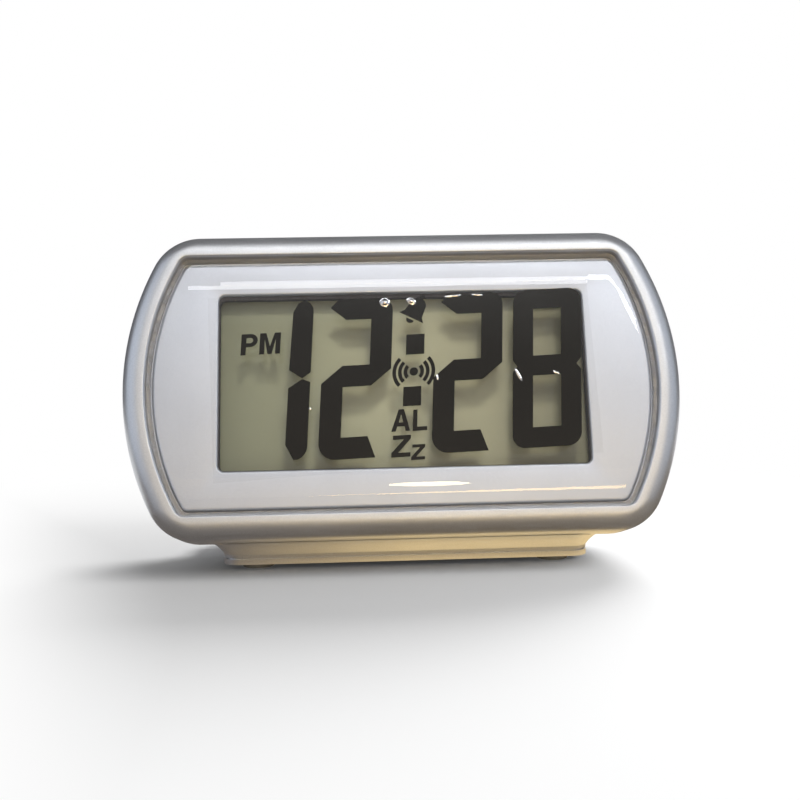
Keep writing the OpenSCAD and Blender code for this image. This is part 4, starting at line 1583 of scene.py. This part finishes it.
@dataclass
class Studio:
    """Floor, world, lamps, cards and camera, in metres where a name doesn't say millimetres."""

    focal_mm: float = 45.0
    sensor_mm: float = 36.0
    clip_start: float = 0.01
    camera_mm: tuple = (-11.382, -264.384, 59.765)
    right: tuple = (0.998921, -0.042566, -0.01855)
    up: tuple = (0.021448, 0.068679, 0.997408)
    away: tuple = (0.041182, 0.99673, -0.069517)
    fill: float = 0.25
    floor_half: float = 6.0
    floor_tone: tuple = (0.9, 0.9, 0.9, 1.0)
    lift: float = 0.03
    shade_middle: tuple = (-0.01, -0.02, 0.0)
    shade_near: float = 0.035
    shade_far: float = 0.22
    shade_skew: tuple = (-1.0, -0.32, 0.0)
    shade_left: tuple = (0.06, 0.118)

    def camera(self) -> None:
        """Places the camera by its axes and makes it the scene's camera."""
        data = bpy.data.cameras.new("photo_camera")
        data.lens = self.focal_mm
        data.sensor_width = self.sensor_mm
        data.clip_start = self.clip_start
        made = bpy.data.objects.new("photo_camera", data)
        bpy.context.scene.collection.objects.link(made)
        axes = Matrix((self.right, self.up, [-a for a in self.away])).transposed().to_4x4()
        axes.translation = Vector(self.camera_mm) * MM
        made.matrix_world = axes
        bpy.context.scene.camera = made

    @staticmethod
    def seen_white(nodes: Nodes) -> Socket:
        """Adds a mask that is one for camera, glossy and transmission rays.

        Args:
            nodes: node adder of the tree.

        Returns:
            The mask.
        """
        ray = nodes.add("LightPath").outputs
        seen = nodes.math("MAXIMUM", ray["Is Camera Ray"], ray["Is Glossy Ray"])
        return nodes.math("MAXIMUM", seen, ray["Is Transmission Ray"])

    def floor(self) -> None:
        """Adds the pale floor: lit and shaded near the clock, lifted to white further out and to the left."""
        half = self.floor_half
        corners = np.array([[-half, -half, 0], [half, -half, 0], [half, half, 0], [-half, half, 0]])
        made = new_object("floor", corners, [[0, 1, 2, 3]], Sharp.CUT)
        material, nodes = new_material("pale_floor")
        at = nodes.at()
        away = nodes.add("VectorMath", {0: at, 1: self.shade_middle}, operation="DISTANCE").outputs["Value"]
        out = nodes.span(away, low=self.lift, source=(self.shade_near, self.shade_far), smooth=True)
        aside = nodes.add("VectorMath", {0: at, 1: self.shade_skew}, operation="DOT_PRODUCT").outputs["Value"]
        left = nodes.span(aside, source=self.shade_left, smooth=True)
        share = nodes.math("MULTIPLY", self.seen_white(nodes), nodes.math("MAXIMUM", out, left))
        plain = nodes.add("BsdfDiffuse", {"Color": self.floor_tone})
        white = nodes.add("Emission", {"Color": WHITE, "Strength": 1.0})
        nodes.surface(nodes.mix(share, plain, white))
        made.data.materials.append(material)

    def world(self) -> None:
        """Sets a white world for what the camera and the gloss see, and an even fill for the rest."""
        world = bpy.data.worlds.new("studio_world")
        world.use_nodes = True
        bpy.context.scene.world = world
        nodes = Nodes(world.node_tree)
        level = nodes.span(self.seen_white(nodes), low=self.fill)
        glow = nodes.add("Background", {"Color": WHITE, "Strength": level})
        nodes.add("OutputWorld", {"Surface": glow.outputs[0]})

    @staticmethod
    def lamps() -> None:
        """Adds the lamps and links each to the floor, or off it."""
        made = [(lamp.build(), lamp.floor) for lamp in LAMPS]
        for state in FloorLight:
            shared = bpy.data.collections.new("floor_" + state.value.lower())
            shared.objects.link(bpy.data.objects["floor"])
            shared.collection_objects[0].light_linking.link_state = state.value
            for lamp, floor in made:
                if floor is state:
                    lamp.light_linking.receiver_collection = shared

    def build(self) -> None:
        """Sets up camera, floor, world, lamps and the cards that shape the reflections."""
        self.camera()
        self.floor()
        self.world()
        self.lamps()
        for card in CARDS:
            card.build()
        bpy.context.scene.view_settings.view_transform = "Standard"


def main() -> None:
    """Builds the clock's looks in order."""
    logging.basicConfig(level=logging.INFO)
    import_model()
    shop = Workshop()
    for part in (Bezel, Lens, Mask, Gasket, DisplayPanel, PrintedFilm, Blisters, BackPrint, Shell):
        part(shop).build()
    Studio().build()


if __name__ == "__main__":
    main()
